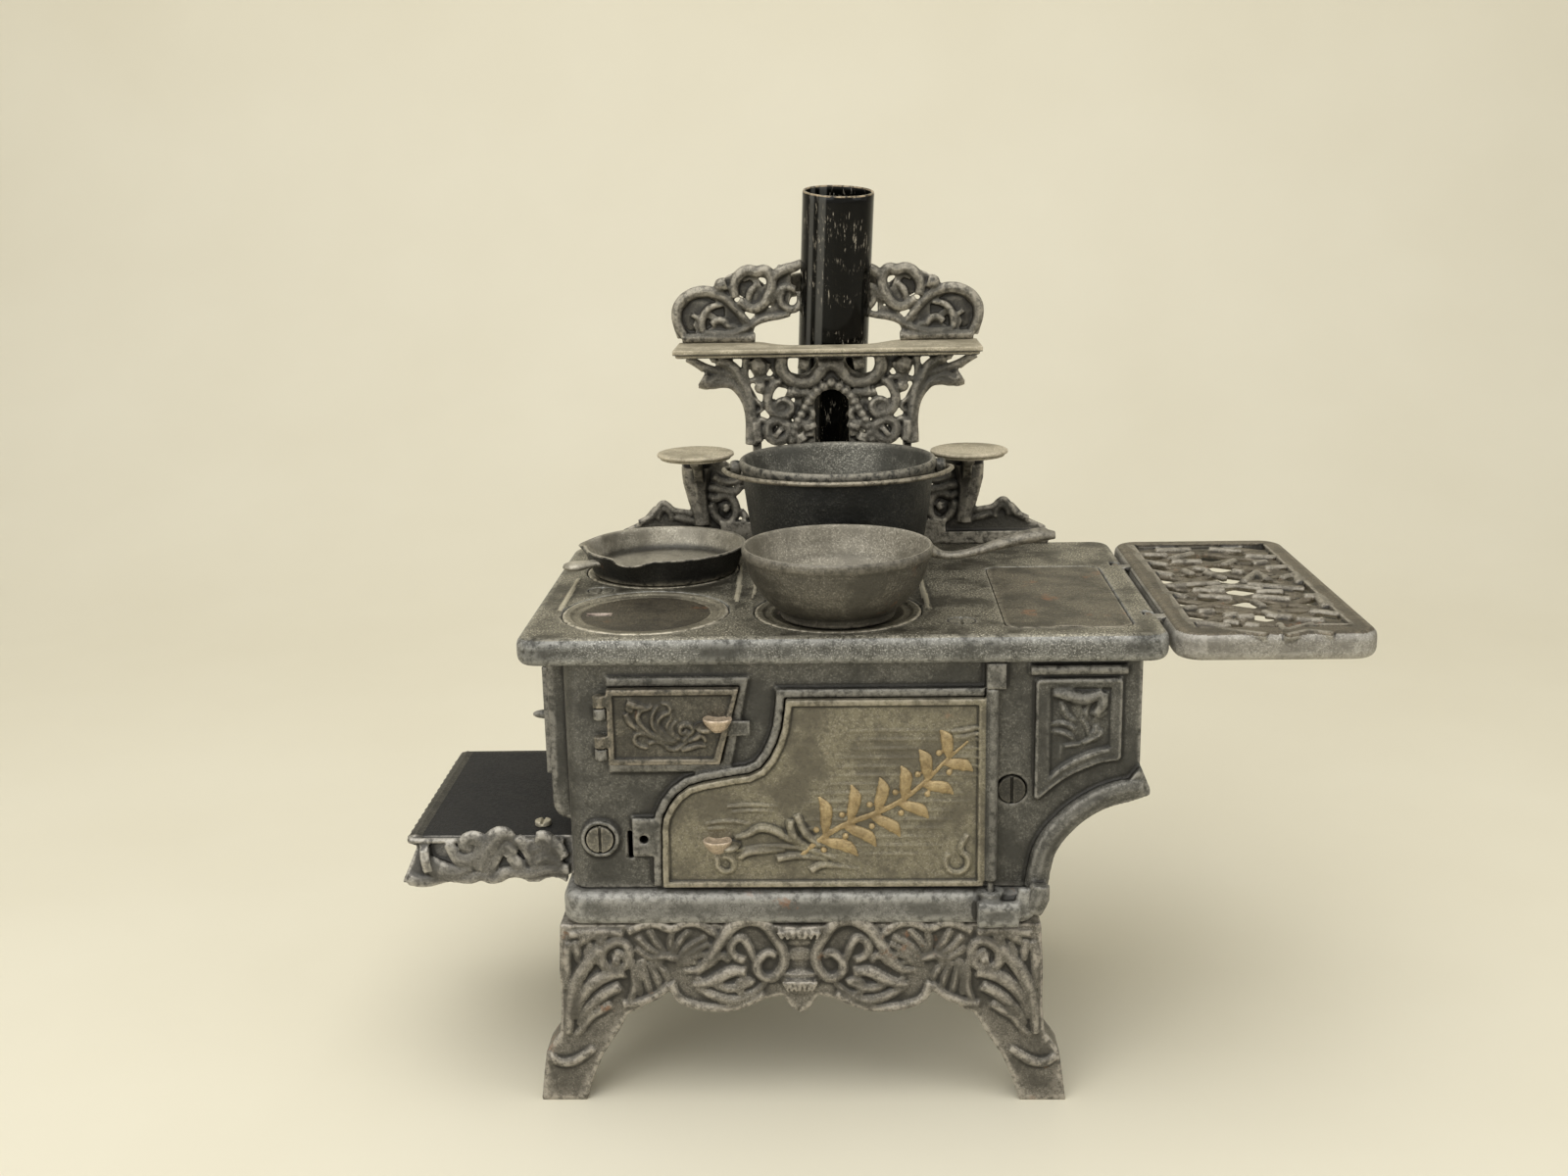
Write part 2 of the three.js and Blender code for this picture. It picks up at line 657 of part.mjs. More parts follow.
// Left end: a plain plate with the boxed hood round the firebox end door
function leftEnd() {
  const y0 = frontY + bodyCorner + seatGap;
  const plate = block(bodyLeft, bodyLeft + wall, y0, backInY - seatGap, bodyBottom, bodyTop);
  const hood = new THREE.Shape();
  hood.moveTo(bodyLeft + wall, hoodBottom);
  hood.lineTo(bodyLeft, hoodBottom);
  hood.quadraticCurveTo(endFaceX, hoodBottom, endFaceX, hoodBottom + hoodReach);
  hood.lineTo(endFaceX, bodyTop);
  hood.lineTo(bodyLeft + wall, bodyTop);
  const ledge = block(
    bodyLeft, bodyLeft + wall + ledgeReach, y0 + ledgeReach, backInY - ledgeReach,
    grateBottom - seatGap - wall, grateBottom - seatGap,
  );
  const mouth = block(
    endFaceX - cutOver, bodyLeft + wall + ledgeReach + cutOver, endDoorFront + doorLap,
    endHingeY - hingeRadius - doorLap, grateBottom + grateThick, endDoorTop - doorLap,
  );
  const reach = endHingeX - hingeRadius;
  const lug = (z0, z1) => block(
    reach, endFaceX + wall, endHingeY - hingeRadius, endHingeY + hingeRadius, z0, z1,
  );
  const hearthLug = (y) => block(
    bodyLeft - 2 * hearthScrewIn, bodyLeft + wall, y - ledgeReach, y + ledgeReach,
    hearthTop - hearthPlate - seatGap - ledgeReach, hearthTop - hearthPlate - seatGap,
  );
  const topLug = endDoorTop + seatGap;
  const lowLug = endDoorBottom - seatGap;
  const hole = (z) => rodZ(endHingeX, endHingeY, z, z + pinLength + 2 * seatGap, pinRadius + pinGap, 12);
  const screwY = hearthFront + hearthScrewIn;
  return join([
    plate, standing(hood, hoodFront, hoodBack), ledge, lug(topLug, topLug + knuckleHeight),
    lug(lowLug - knuckleHeight, lowLug), hearthLug(screwY), hearthLug(hearthBack - hearthScrewIn),
  ]).subtract(mouth).subtract(hole(topLug)).subtract(hole(lowLug - pinLength - 2 * seatGap))
    .subtract(rodZ(
      bodyLeft - hearthScrewIn - ledgeReach, screwY, hearthTop - hearthDrop, hearthTop,
      boltRadius + pinGap, 16,
    ));
}

// Right end: one sheet that runs down the side and in under the reservoir
function rightEnd() {
  const y0 = panelBackY + seatGap;
  const y1 = backInY - seatGap;
  const whole = standing(bodyOutline(bodyRight - 2 * bellyRadius), y0, y1, 16);
  const inner = new THREE.Shape();
  const radius = bellyRadius + wall;
  inner.moveTo(bodyRight - wall, bodyTop + cutOver);
  inner.lineTo(bodyRight - wall, bellyZ + radius);
  const over = Math.acos((bellyX - bodyRight + wall) / radius) / deg;
  inner.absarc(bellyX, bellyZ, radius, (180 - over) * deg, 182 * deg, false);
  inner.lineTo(bodyRight - 3 * bellyRadius, bellyZ - cutOver);
  inner.lineTo(bodyRight - 3 * bellyRadius, bodyTop + cutOver);
  return whole.subtract(standing(inner, y0 - cutOver, y1 + cutOver, 16));
}

// Folded plate round the oven: its left side follows the door's curve
function ovenShell() {
  const y0 = panelBackY + seatGap;
  const y1 = backInY - seatGap;
  const w = ovenRight - ovenLeft;
  const h = ovenTop - ovenBottom;
  const curve = smooth(ovenCurveShares.map(([x, z]) => [ovenLeft + x * w, ovenBottom + z * h]), 18);
  const roof = ovenTop + bandWidth;
  const line = [[ovenLeft, bodyBottom], ...curve.slice(1)];
  const last = curve[curve.length - 1][0];
  line.push([last, roof + shellWall / 2]);
  const right = ovenRight + bandWidth;
  const side = standing(band(line, shellWall), y0, y1);
  const roofPlate = block(last - shellWall / 2, right + shellWall, y0, y1, roof, roof + shellWall);
  const rightSide = block(right, right + shellWall, y0, y1, bodyBottom, roof + shellWall);
  const rest = block(
    grateRight - 2 * ledgeReach, grateRight, y0 + ledgeReach, y1 - ledgeReach,
    ovenBottom + h * ovenCurveShares[5][1] - ledgeReach, grateBottom - seatGap,
  );
  return join([side, roofPlate, rightSide, rest]);
}

function grate() {
  const x0 = bodyLeft + wall + seatGap;
  const y0 = panelBackY + seatGap + ledgeReach;
  const y1 = backInY - seatGap - ledgeReach;
  const step = (y1 - y0) / (grateSlots + 1);
  const plate = block(x0, grateRight, y0, y1, grateBottom, grateBottom + grateThick);
  const slots = Array.from({ length: grateSlots }, (_, i) => block(
    x0 + 2 * ledgeReach, grateRight - 3 * ledgeReach, y0 + (i + 1) * step - grateSlot / 2,
    y0 + (i + 1) * step + grateSlot / 2, grateBottom - cutOver, grateBottom + grateThick + cutOver,
  ));
  return plate.subtract(join(slots));
}

function reservoirTank() {
  const x1 = bodyRight - wall - seatGap;
  const outer = block(tankLeft, x1, coverFront, coverBack, tankBottom, bodyTop);
  return outer.subtract(block(
    tankLeft + tankWall, x1 - tankWall, coverFront + tankWall, coverBack - tankWall,
    tankBottom + tankWall, bodyTop + cutOver,
  ));
}

const lids = [
  ["lid_front_left", lidLeftX, lidFrontY], ["lid_front_right", lidRightX, lidFrontY],
  ["lid_rear_left", lidLeftX, lidRearY], ["lid_rear_right", lidRightX, lidRearY],
];

function cooktop() {
  const half = topWidth / 2;
  let top = slab(-half, half, 0, topDepth, rimBottom, topHeight, topCorner, rimRound);
  top = top.subtract(block(
    rimWidth - half, half - rimWidth, rimWidth, topDepth - rimWidth, rimBottom - cutOver, topUnder,
  ));
  const ribs = [lidLeftX, lidRightX].flatMap((x) => [-1, 1].map((side) => {
    const at = x + side * (lidRadius + ribWidth);
    return block(
      at - ribWidth / 2, at + ribWidth / 2, lidFrontY, lidRearY, topHeight - ribHeight,
      topHeight + ribHeight,
    );
  }));
  top = top.add(join(ribs));
  for (const [, x, y] of lids) {
    top = top
      .subtract(rodZ(x, y, topHeight - lidThick - seatGap, topHeight + cutOver, lidRadius + seatGap, 32))
      .subtract(rodZ(x, y, topUnder - cutOver, topHeight, lidRadius - lidSeat, 32));
  }
  const recess = roundedRect(
    coverLeft - seatGap, coverRight + seatGap, coverFront - seatGap, coverBack + seatGap, coverCorner,
  );
  top = top.subtract(lying(recess, topHeight - coverThick - seatGap, topHeight + cutOver, 5));
  top = top.subtract(block(
    coverLeft + coverSeat, coverRight - coverSeat, coverFront + coverSeat, coverBack - coverSeat,
    topUnder - cutOver, topHeight,
  ));
  for (const [x, y] of [[leftScrewX, leftScrewY], [rightScrewX, rightScrewY]]) {
    top = top
      .subtract(rodZ(
        x, y, topHeight - topScrewThick - seatGap, topHeight + cutOver, topScrewHead + seatGap, 24,
      ))
      .subtract(rodZ(x, y, topUnder - cutOver, topHeight, boltRadius + seatGap, 16));
  }
  for (const y of [hookFrontY, hookRearY]) {
    top = top.subtract(block(
      hookX - hookPin - turnGap, half + cutOver, y - hookWidth / 2 - turnGap, y + hookWidth / 2 + turnGap,
      hookZ - hookPin - seatGap, topHeight + cutOver,
    ));
  }
  return top;
}

function lid(x, y) {
  const top = topHeight;
  const low = topHeight - lidThick;
  const inner = lidRadius - lidRing;
  const disc = turned([
    [0, low], [lidRadius, low], [lidRadius, top], [inner, top], [inner - lidDish, top - lidDish],
    [0, top - lidDish],
  ], 32);
  const pocket = lying(
    roundedRect(
      x - lifterOut - lifterLength / 2, x - lifterOut + lifterLength / 2, y - lifterWidth / 2,
      y + lifterWidth / 2, lifterWidth / 2 - weldReach,
    ), top - lidDish - lifterDepth, top + cutOver, 4,
  );
  return solid(disc.translate(x, y, 0)).subtract(pocket);
}

function reservoirCover() {
  const shape = roundedRect(coverLeft, coverRight, coverFront, coverBack, coverCorner - seatGap);
  const middle = (coverLeft + coverRight) / 2;
  const notch = new THREE.Shape();
  notch.absellipse(middle, coverFront, coverCorner, coverSeat / 2, 0, 360 * deg, false);
  return lying(shape, topHeight - coverThick, topHeight, 5)
    .subtract(lying(notch, topHeight - coverThick - cutOver, topHeight + cutOver, 6));
}

// Side shelf: a rounded frame whose window is filled with crossing sticks
function sideShelf() {
  const x0 = sideLeft;
  const x1 = sideLeft + sideWidth;
  const frame = slab(x0, x1, 0, sideDepth, rimBottom, topHeight, sideCorner, rimRound);
  const under = block(
    x0 + rimWidth, x1 - rimWidth, rimWidth, sideDepth - rimWidth, rimBottom - cutOver,
    topHeight - sidePlate,
  );
  const inX = [x0 + sideFrame, x1 - sideFrame];
  const inY = [sideFrame, sideDepth - sideFrame];
  const window = block(...inX, ...inY, rimBottom - cutOver, topHeight + cutOver);
  const field = block(
    inX[0] - rimRound, inX[1] + rimRound, inY[0] - rimRound, inY[1] + rimRound,
    topHeight - sidePlate, topHeight - sidePlate + stickThick,
  );
  const middleX = (x0 + x1) / 2;
  const spacing = sideDepth / (sticksAcross - 1);
  const sticks = stickTurns.flatMap((turn) => Array.from({ length: sticksAcross }, (_, i) => {
    const shape = new THREE.BoxGeometry(2 * sideWidth, stickWidth, stickThick);
    shape.rotateZ(turn * deg);
    return solid(shape.translate(
      middleX, i * spacing, topHeight - sidePlate + stickThick / 2,
    ));
  }));
  const hooks = [hookFrontY, hookRearY].map((y) => rodY(
    hookX, hookZ, y - hookWidth / 2, y + hookWidth / 2, hookPin, 20,
  ).add(block(
    hookX, x0 + rimRound, y - hookWidth / 2, y + hookWidth / 2, hookZ - hookPin / 2, hookZ + hookPin / 2,
  )));
  return frame.subtract(under).subtract(window).add(join(sticks).intersect(field)).add(join(hooks));
}
const stickTurns = [34, -34, 0]; // degrees

// Hearth shelf: flat top with a sloping scalloped border on its three free sides
function hearth() {
  const x1 = bodyLeft - hoodReach + 2 * wall;
  const x0 = x1 - hearthReach;
  const tray = (inset, top) => {
    const z0 = hearthTop - hearthDrop;
    const side = outline([
      [hearthFront - hearthFlare / 2 + inset, z0 - inset],
      [hearthBack + hearthFlare / 2 - inset, z0 - inset],
      [hearthBack - inset, top], [hearthFront + inset, top],
    ]);
    const end = outline([
      [x0 - hearthFlare + inset, z0 - inset], [bodyLeft - seatGap + inset, z0 - inset],
      [bodyLeft - seatGap + inset, top], [x0 + inset, top],
    ]);
    const reach = hearthFlare + cutOver;
    return endways(side, x0 - reach, bodyLeft - seatGap + inset)
      .intersect(standing(end, hearthFront - reach, hearthBack + reach));
  };
  const shell = tray(0, hearthTop).subtract(tray(hearthPlate, hearthTop - hearthPlate));
  const waveX = Array.from({ length: 4 }, (_, i) => rodY(
    x0 + ((i + 0.5) * hearthReach) / 4, hearthTop - hearthDrop - hearthFlare + hearthWave,
    hearthFront - 2 * hearthFlare, hearthFront, hearthFlare, 20,
  ));
  const waveY = Array.from({ length: 6 }, (_, i) => rodX(
    hearthFront + ((i + 0.5) * (hearthBack - hearthFront)) / 6,
    hearthTop - hearthDrop - hearthFlare + hearthWave, x0 - 2 * hearthFlare, x0, hearthFlare,
  ));
  const screwY = hearthFront + hearthScrewIn;
  const hole = rodZ(
    bodyLeft - hearthScrewIn - ledgeReach, screwY, hearthTop - hearthDrop, hearthTop + cutOver,
    boltRadius + pinGap, 16,
  );
  const besideBase = block(
    baseLeft - seatGap, bodyLeft + hearthPlate, 0, topDepth, legHeight, baseTop + seatGap,
  );
  return shell.subtract(join([...waveX, ...waveY])).subtract(hole).subtract(besideBase);
}

// A slotted screw or bolt pointing down, its head's underside at the given height
function screwDown(x, y, z, head, thick, length) {
  return rodZ(x, y, z, z + thick, head, 20).add(rodZ(x, y, z - length, z + thick / 2, boltRadius, 12))
    .subtract(block(
      x - boltSlot / 2, x + boltSlot / 2, y - head, y + head, z + thick / 2, z + thick + cutOver,
    ));
}
function tieBolt(x, z, seatY) {
  const y0 = seatY - seatGap - boltHeadThick;
  const end = bodyBackY + seatGap + nutThick + wall;
  return rodY(x, z, y0, seatY - seatGap, boltHead, 28)
    .add(rodY(x, z, seatY - seatGap - wall / 2, end, boltRadius, 16))
    .subtract(block(
      x - boltSlot / 2, x + boltSlot / 2, y0 - cutOver, y0 + boltHeadThick / 2, z - boltHead, z + boltHead,
    ));
}
function tieNut(x, z) {
  const y0 = bodyBackY + seatGap;
  const half = nutSize / 2;
  return block(x - half, x + half, y0, y0 + nutThick, z - half, z + half)
    .subtract(rodY(x, z, y0 - cutOver, y0 + nutThick + cutOver, boltRadius + seatGap, 16));
}

// A cast door knob: half an egg standing off the door
function knob(x, y, z) {
  const egg = new THREE.SphereGeometry(1, 14, 10).scale(knobWidth / 2, knobReach, knobHeight / 2);
  return solid(egg.translate(x, y, z));
}
function hingePin(x, y, z0, z1) {
  return rodZ(x, y, z0, z1, pinRadius, 12);
}

function fireDoor() {
  const y0 = doorBackY - doorPlate;
  const plate = standing(fireOutline(0), y0, doorBackY);
  const bead = standing(fireOutline(0), y0 - doorBead, y0 + doorPlate / 2)
    .subtract(standing(fireOutline(-doorBeadWidth), y0 - cutOver - doorBead, y0));
  const knuckles = fireKnuckles.flatMap((z) => [
    rodZ(fireHingeX, hingeY, z, z + knuckleHeight, hingeRadius, 16),
    block(fireHingeX, fireLeft + hingeRadius, y0, hingeY + pinRadius, z, z + knuckleHeight),
    hingePin(fireHingeX, hingeY, z - seatGap - pinLength, z + seatGap),
  ]);
  const knobX = fireRight - fireSlant / 2 - knobWidth;
  const handle = knob(knobX, y0, (fireBottom + fireTop) / 2);
  const keep = block(
    fireRight - fireSlant, fireRight + knobHeight, y0, y0 + doorPlate / 2,
    (fireBottom + fireTop) / 2 - knobHeight, (fireBottom + fireTop) / 2 + knobHeight / 2,
  );
  return join([plate, bead, ...knuckles, handle.intersect(outside(y0)), keep]);
}
// Everything in front of a standing face
function outside(y) {
  return block(-topWidth, topWidth, y - topDepth, y + doorPlate / 2, 0, topHeight);
}

function ovenDoor() {
  const y0 = doorBackY - doorPlate;
  const plate = standing(ovenOutline(0), y0, doorBackY);
  const bead = standing(ovenOutline(0), y0 - doorBead, y0 + doorPlate / 2)
    .subtract(standing(ovenOutline(-doorBeadWidth), y0 - cutOver - doorBead, y0));
  const top = ovenTop + bandWidth;
  const low = baseTop + 2 * seatGap;
  const barrel = rodZ(ovenHingeX, hingeY, ovenBottom + hingeRadius, top, hingeRadius, 16);
  const strap = block(
    ovenRight - hingeRadius, ovenHingeX, y0, hingeY + pinRadius, ovenBottom + hingeRadius, ovenTop,
  );
  const pins = hingePin(ovenHingeX, hingeY, low - seatGap - pinLength, top + seatGap + pinLength);
  const handle = knob(ovenLeft + 3 * knobWidth, y0, leftBoltZ - boltRadius);
  return join([plate, bead, barrel, strap, pins, handle.intersect(outside(y0))]);
}

function endDoor() {
  const x1 = endFaceX - seatGap;
  const x0 = x1 - doorPlate;
  const plate = block(x0, x1, endDoorFront, endHingeY, endDoorBottom, endDoorTop);
  const barrel = rodZ(endHingeX, endHingeY, endDoorBottom, endDoorTop, hingeRadius, 16);
  const pins = hingePin(
    endHingeX, endHingeY, endDoorBottom - seatGap - pinLength, endDoorTop + seatGap + pinLength,
  );
  const egg = new THREE.SphereGeometry(1, 14, 10).scale(knobReach, knobHeight / 2, knobHeight / 2);
  const handle = solid(egg.translate(x0, endDoorFront + knobWidth, (endDoorBottom + endDoorTop) / 2));
  return join([plate, barrel, pins, handle.intersect(block(
    x0 - topWidth, x0 + doorPlate / 2, 0, topDepth, 0, topHeight,
  ))]);
}

// Flue box behind the body, with the collar that the pipe stands in
function flueBox() {
  const outer = pipeRadius + collarGap + collarWall;
  const y0 = bodyBackY + seatGap;
  const y1 = collarY + outer;
  const boxTop = rimBottom - seatGap;
  const collar = pipeRadius + collarGap;
  const seat = lowestPipe - seatGap;
  const shape = block(collarX - outer, collarX + outer, y0, y1, rimBottom - flueHeight, boxTop)
    .add(rodZ(collarX, collarY, boxTop - fluePlate, collarTop, outer, 40));
  return shape
    .subtract(block(
      collarX - outer + fluePlate, collarX + outer - fluePlate, y0 - cutOver, y1 - fluePlate,
      rimBottom - flueHeight + fluePlate, boxTop - fluePlate,
    ))
    .subtract(rodZ(collarX, collarY, seat, collarTop + cutOver, collar, 40))
    .subtract(rodZ(collarX, collarY, boxTop - flueHeight / 2, collarTop, pipeRadius - 2 * pipeWall, 40));
}

function stovePipe() {
  const lean = new THREE.Vector3(pipeLeanSide, -pipeLeanBack, 1).normalize();
  const length = (pipeTop - lowestPipe) / lean.z;
  const tube = turned([
    [pipeRadius - pipeWall, 0], [pipeRadius, 0], [pipeRadius, length], [pipeRadius - pipeWall, length],
  ], 40);
  tube.applyQuaternion(new THREE.Quaternion().setFromUnitVectors(new THREE.Vector3(0, 0, 1), lean));
  tube.computeBoundingBox();
  return solid(tube.translate(pipeX(lowestPipe), pipeY(lowestPipe), lowestPipe - tube.boundingBox.min.z));
}

// Scrolls of the back guard: place out from the middle and down from the top, start
// radius, start and end angle in degrees, and end radius, in shares of half the width
const guardScrollShares = [
  [0.39, 0.02, 0.27, 180, 360, 0.27], [0.8, 0.2, 0.14, 200, 540, 0.1],
  [0.62, 0.62, 0.28, 80, 400, 0.08], [0.66, 0.96, 0.2, 60, 420, 0.07],
  [0.58, 1.36, 0.26, 100, 430, 0.09], [0.62, 1.8, 0.24, 80, 440, 0.08],
];
const guardTieShares = [
  [[0.93, 0.6], [0.9, 0.62]], [[0.93, 1], [0.84, 0.98]], [[0.93, 1.3], [0.8, 1.34]],
  [[0.95, 1.8], [0.8, 1.84]], [[0.24, 1.44], [0.36, 1.38]], [[0, 1.92], [0.42, 1.84]],
  [[0.27, 0.8], [0.42, 0.72]], [[0.27, 1.05], [0.5, 1]], [[0.64, 0.05], [0.72, 0.14]],
];
const guardPostShares = [
  [0.93, 2.2], [0.93, 1.2], [0.94, 0.7], [1.03, 0.45], [1.22, 0.3], [1.55, 0.27],
];
const guardArmShares = [[1.12, 0.4], [1.3, 0.16], [1.36, 0]];
// Columns and end leaves, in shares of the trivet's distance out and its height
const columnShares = [
  [1.14, 1], [1.12, 0.72], [1.07, 0.4], [1.05, 0.1], [0.85, 0.1], [0.87, 0.4], [0.9, 0.62], [0.86, 0.74],
  [0.78, 0.68], [0.66, 0.6], [0.6, 0.62], [0.6, 0.78], [0.7, 0.8], [0.8, 0.9], [0.86, 1],
];
const leafShares = [
  [1.02, 0.1], [1.07, 0.34], [1.18, 0.32], [1.28, 0.44], [1.36, 0.42], [1.46, 0.26], [1.6, 0.17],
  [1.6, 0.1],
];

function scrollBand(middle, side, unit, fromTop, share, wide, steps = 9) {
  const [x, down, start, from, to, end] = share;
  const line = arcLine(x * unit, fromTop - down * unit, start * unit, from, to, steps, end * unit);
  const placed = line.map(([a, z]) => [middle + side * a, z]);
  return band(placed, wide, wide * 0.75);
}

function backGuard() {
  const y1 = guardY + guardPlate;
  const plate = (shape) => standing(shape, guardY, y1);
  const place = (side) => ([x, down]) => [guardMiddle + side * x * guardHalf, guardTop - down * guardHalf];
  const tall = trivetTop - trivetThick - seatGap - setOnTop;
  const wing = (side) => ([x, z]) => [guardMiddle + side * x * trivetAside, setOnTop + z * tall];
  const sides = [-1, 1].flatMap((side) => [
    ...guardScrollShares.map((share) => plate(
      scrollBand(guardMiddle, side, guardHalf, guardTop, share, scrollWidth),
    )),
    ...guardTieShares.map((tie) => plate(band(tie.map(place(side)), scrollWidth))),
    plate(band(smooth(guardPostShares.map(place(side)), 10), scrollWidth, scrollWidth * 1.5)),
    plate(band(smooth(guardArmShares.map(place(side)), 4), scrollWidth)),
    plate(outline(columnShares.map(wing(side)))),
    plate(outline(leafShares.map(wing(side)))),
    armBracket(guardMiddle + side * trivetAside),
  ]);
  const arch = [
    ...[[archHalf, archBottom], [archHalf, archTop - archHalf]],
    ...arcLine(0, archTop - archHalf, archHalf, 15, 165, 8),
    ...[[-archHalf, archTop - archHalf], [-archHalf, archBottom]],
  ].map(([x, z]) => [guardMiddle + (x * (archHalf + scrollWidth / 2)) / archHalf, z]);
  const ledge = block(
    guardMiddle - ledgeHalf, guardMiddle + ledgeHalf, guardY - scrollWidth / 2, y1, setOnTop,
    setOnTop + ledgeHeight,
  );
  const plinth = block(
    guardMiddle - plinthHalf, guardMiddle + plinthHalf, guardY - scrollWidth / 2, y1, setOnTop,
    setOnTop + plinthHeight,
  );
  const sill = block(
    guardMiddle - guardHalf, guardMiddle + guardHalf, guardY, y1, archBottom - scrollWidth, archBottom,
  );
  const crown = block(
    guardMiddle - guardHalf, guardMiddle + guardHalf, guardY, y1, guardTop - scrollWidth / 2, guardTop,
  );
  const head = block(
    guardMiddle - scrollWidth, guardMiddle + scrollWidth, guardY, y1, archTop, guardTop,
  );
  const topRail = block(
    guardMiddle - guardHalf * 1.5, guardMiddle + guardHalf * 1.5, guardY, y1, guardTop - scrollWidth / 2,
    guardTop,
  );
  return join([...sides, plate(band(arch, scrollWidth)), ledge, plinth, sill, crown, head, topRail])
    .subtract(above(guardTop));
}

function above(z) {
  return block(-topWidth, topWidth, 0, 2 * topDepth, z, z + topHeight);
}

// The arm that carries a trivet in front of its column
function armBracket(x) {
  const top = trivetTop - trivetThick - seatGap;
  const low = top - trivetRadius;
  const shape = outline([
    [guardY + guardPlate / 2, low], [guardY + guardPlate / 2, top], [trivetY - trivetRadius / 2, top],
    [trivetY - trivetRadius / 2, top - scrollWidth / 2],
    [trivetY + trivetRadius / 3, top - trivetRadius / 3], [guardY, low],
  ]);
  return endways(shape, x - armWidth / 2, x + armWidth / 2);
}

function trivet(x) {
  const low = trivetTop - trivetThick;
  const step = trivetThick * 0.45;
  const disc = turned([
    [0, low], [trivetRadius - step, low], [trivetRadius - step, low + step], [trivetRadius, low + step],
    [trivetRadius, trivetTop - step / 3], [trivetRadius - step, trivetTop], [0, trivetTop],
  ], 28);
  return solid(disc.translate(x, trivetY, 0));
}

// High shelf: its back edge is drawn in round the pipe
function highShelf() {
  const half = shelfWidth / 2;
  const back = crestY + crestPlate + seatGap;
  const inY = guardY + guardPlate;
  const edge = (inset) => {
    const shape = new THREE.Shape();
    const x0 = shelfMiddle - half + inset;
    const x1 = shelfMiddle + half - inset;
    shape.moveTo(x0, shelfFront + inset);
    shape.lineTo(x1, shelfFront + inset);
    shape.lineTo(x1, back - inset);
    shape.lineTo(shelfMiddle + half / 2, back - inset);
    shape.bezierCurveTo(
      shelfMiddle + half * 0.4, back - inset, shelfMiddle + half * 0.36, inY - inset,
      shelfMiddle + half * 0.18, inY - inset,
    );
    shape.lineTo(shelfMiddle - half * 0.18, inY - inset);
    shape.bezierCurveTo(
      shelfMiddle - half * 0.36, inY - inset, shelfMiddle - half * 0.4, back - inset,
      shelfMiddle - half / 2, back - inset,
    );
    shape.lineTo(x0, back - inset);
    return shape;
  };
  const upper = lying(edge(0), shelfBottom + shelfStep, shelfTop);
  return upper.add(lying(edge(shelfStep), shelfBottom, shelfTop - shelfStep / 2));
}

// Scrolls of the crest: place out from the middle and up from its foot, start radius,
// start and end angle in degrees, and end radius, in shares of half the shelf's width
const crestScrollShares = [
  [0.82, 0.17, 0.19, -60, 230, 0.16], [0.8, 0.12, 0.08, -90, 260, 0.05], [0.66, 0.1, 0.07, 200, 560, 0.04],
  [0.56, 0.33, 0.13, 0, 355, 0.1], [0.33, 0.3, 0.09, 30, 390, 0.05],
];
const crestBandShares = [
  [[0.98, 0.03], [1.01, 0.14], [0.97, 0.26], [0.86, 0.33], [0.72, 0.3], [0.62, 0.18], [0.53, 0.03]],
  [[0.53, 0.03], [0.5, 0.12], [0.42, 0.19], [0.3, 0.2]],
  [[0.56, 0.42], [0.44, 0.45], [0.34, 0.42], [0.3, 0.5]],
  [[0.74, 0.32], [0.71, 0.38], [0.66, 0.36], [0.6, 0.3]],
  [[0.45, 0.24], [0.38, 0.3], [0.31, 0.4], [0.3, 0.5]],
];
function crest() {
  const half = shelfWidth / 2;
  const y1 = crestY + crestPlate;
  const plate = (shape) => standing(shape, crestY, y1);
  const sides = [-1, 1].flatMap((side) => [
    ...crestScrollShares.map(([x, up, ...rest]) => plate(
      scrollBand(shelfMiddle, side, half, crestBottom, [x, -up, ...rest], scrollWidth, 8),
    )),
    ...crestBandShares.map((line) => plate(band(
      smooth(line.map(([x, up]) => [shelfMiddle + side * x * half, crestBottom + up * half]), 7),
      scrollWidth, scrollWidth * 0.9,
    ))),
    block(
      shelfMiddle + Math.min(side, side * 0.52) * half * 0.96,
      shelfMiddle + Math.max(side, side * 0.52) * half * 0.96,
      crestY, y1, crestBottom, crestBottom + scrollWidth * 0.8,
    ),
  ]);
  const mid = crestBottom + half * 0.36;
  const ringX = pipeX(mid);
  const ringY = pipeY(mid);
  const outer = crestGapHalf + crestPlate;
  const ring = rodZ(ringX, ringY, mid - crestRingHeight / 2, mid + crestRingHeight / 2, outer, 24)
    .subtract(rodZ(ringX, ringY, mid - crestRingHeight, mid + crestRingHeight, crestGapHalf, 24))
    .intersect(block(-topWidth, topWidth, crestY, crestY + topDepth, 0, 2 * topHeight));
  const passage = rodZ(ringX, ringY, crestBottom - cutOver, 2 * topHeight, crestGapHalf - turnGap, 24);
  const below = block(-topWidth, topWidth, 0, 2 * topDepth, 0, crestBottom);
  return join(sides).subtract(passage).add(ring).subtract(below);
}

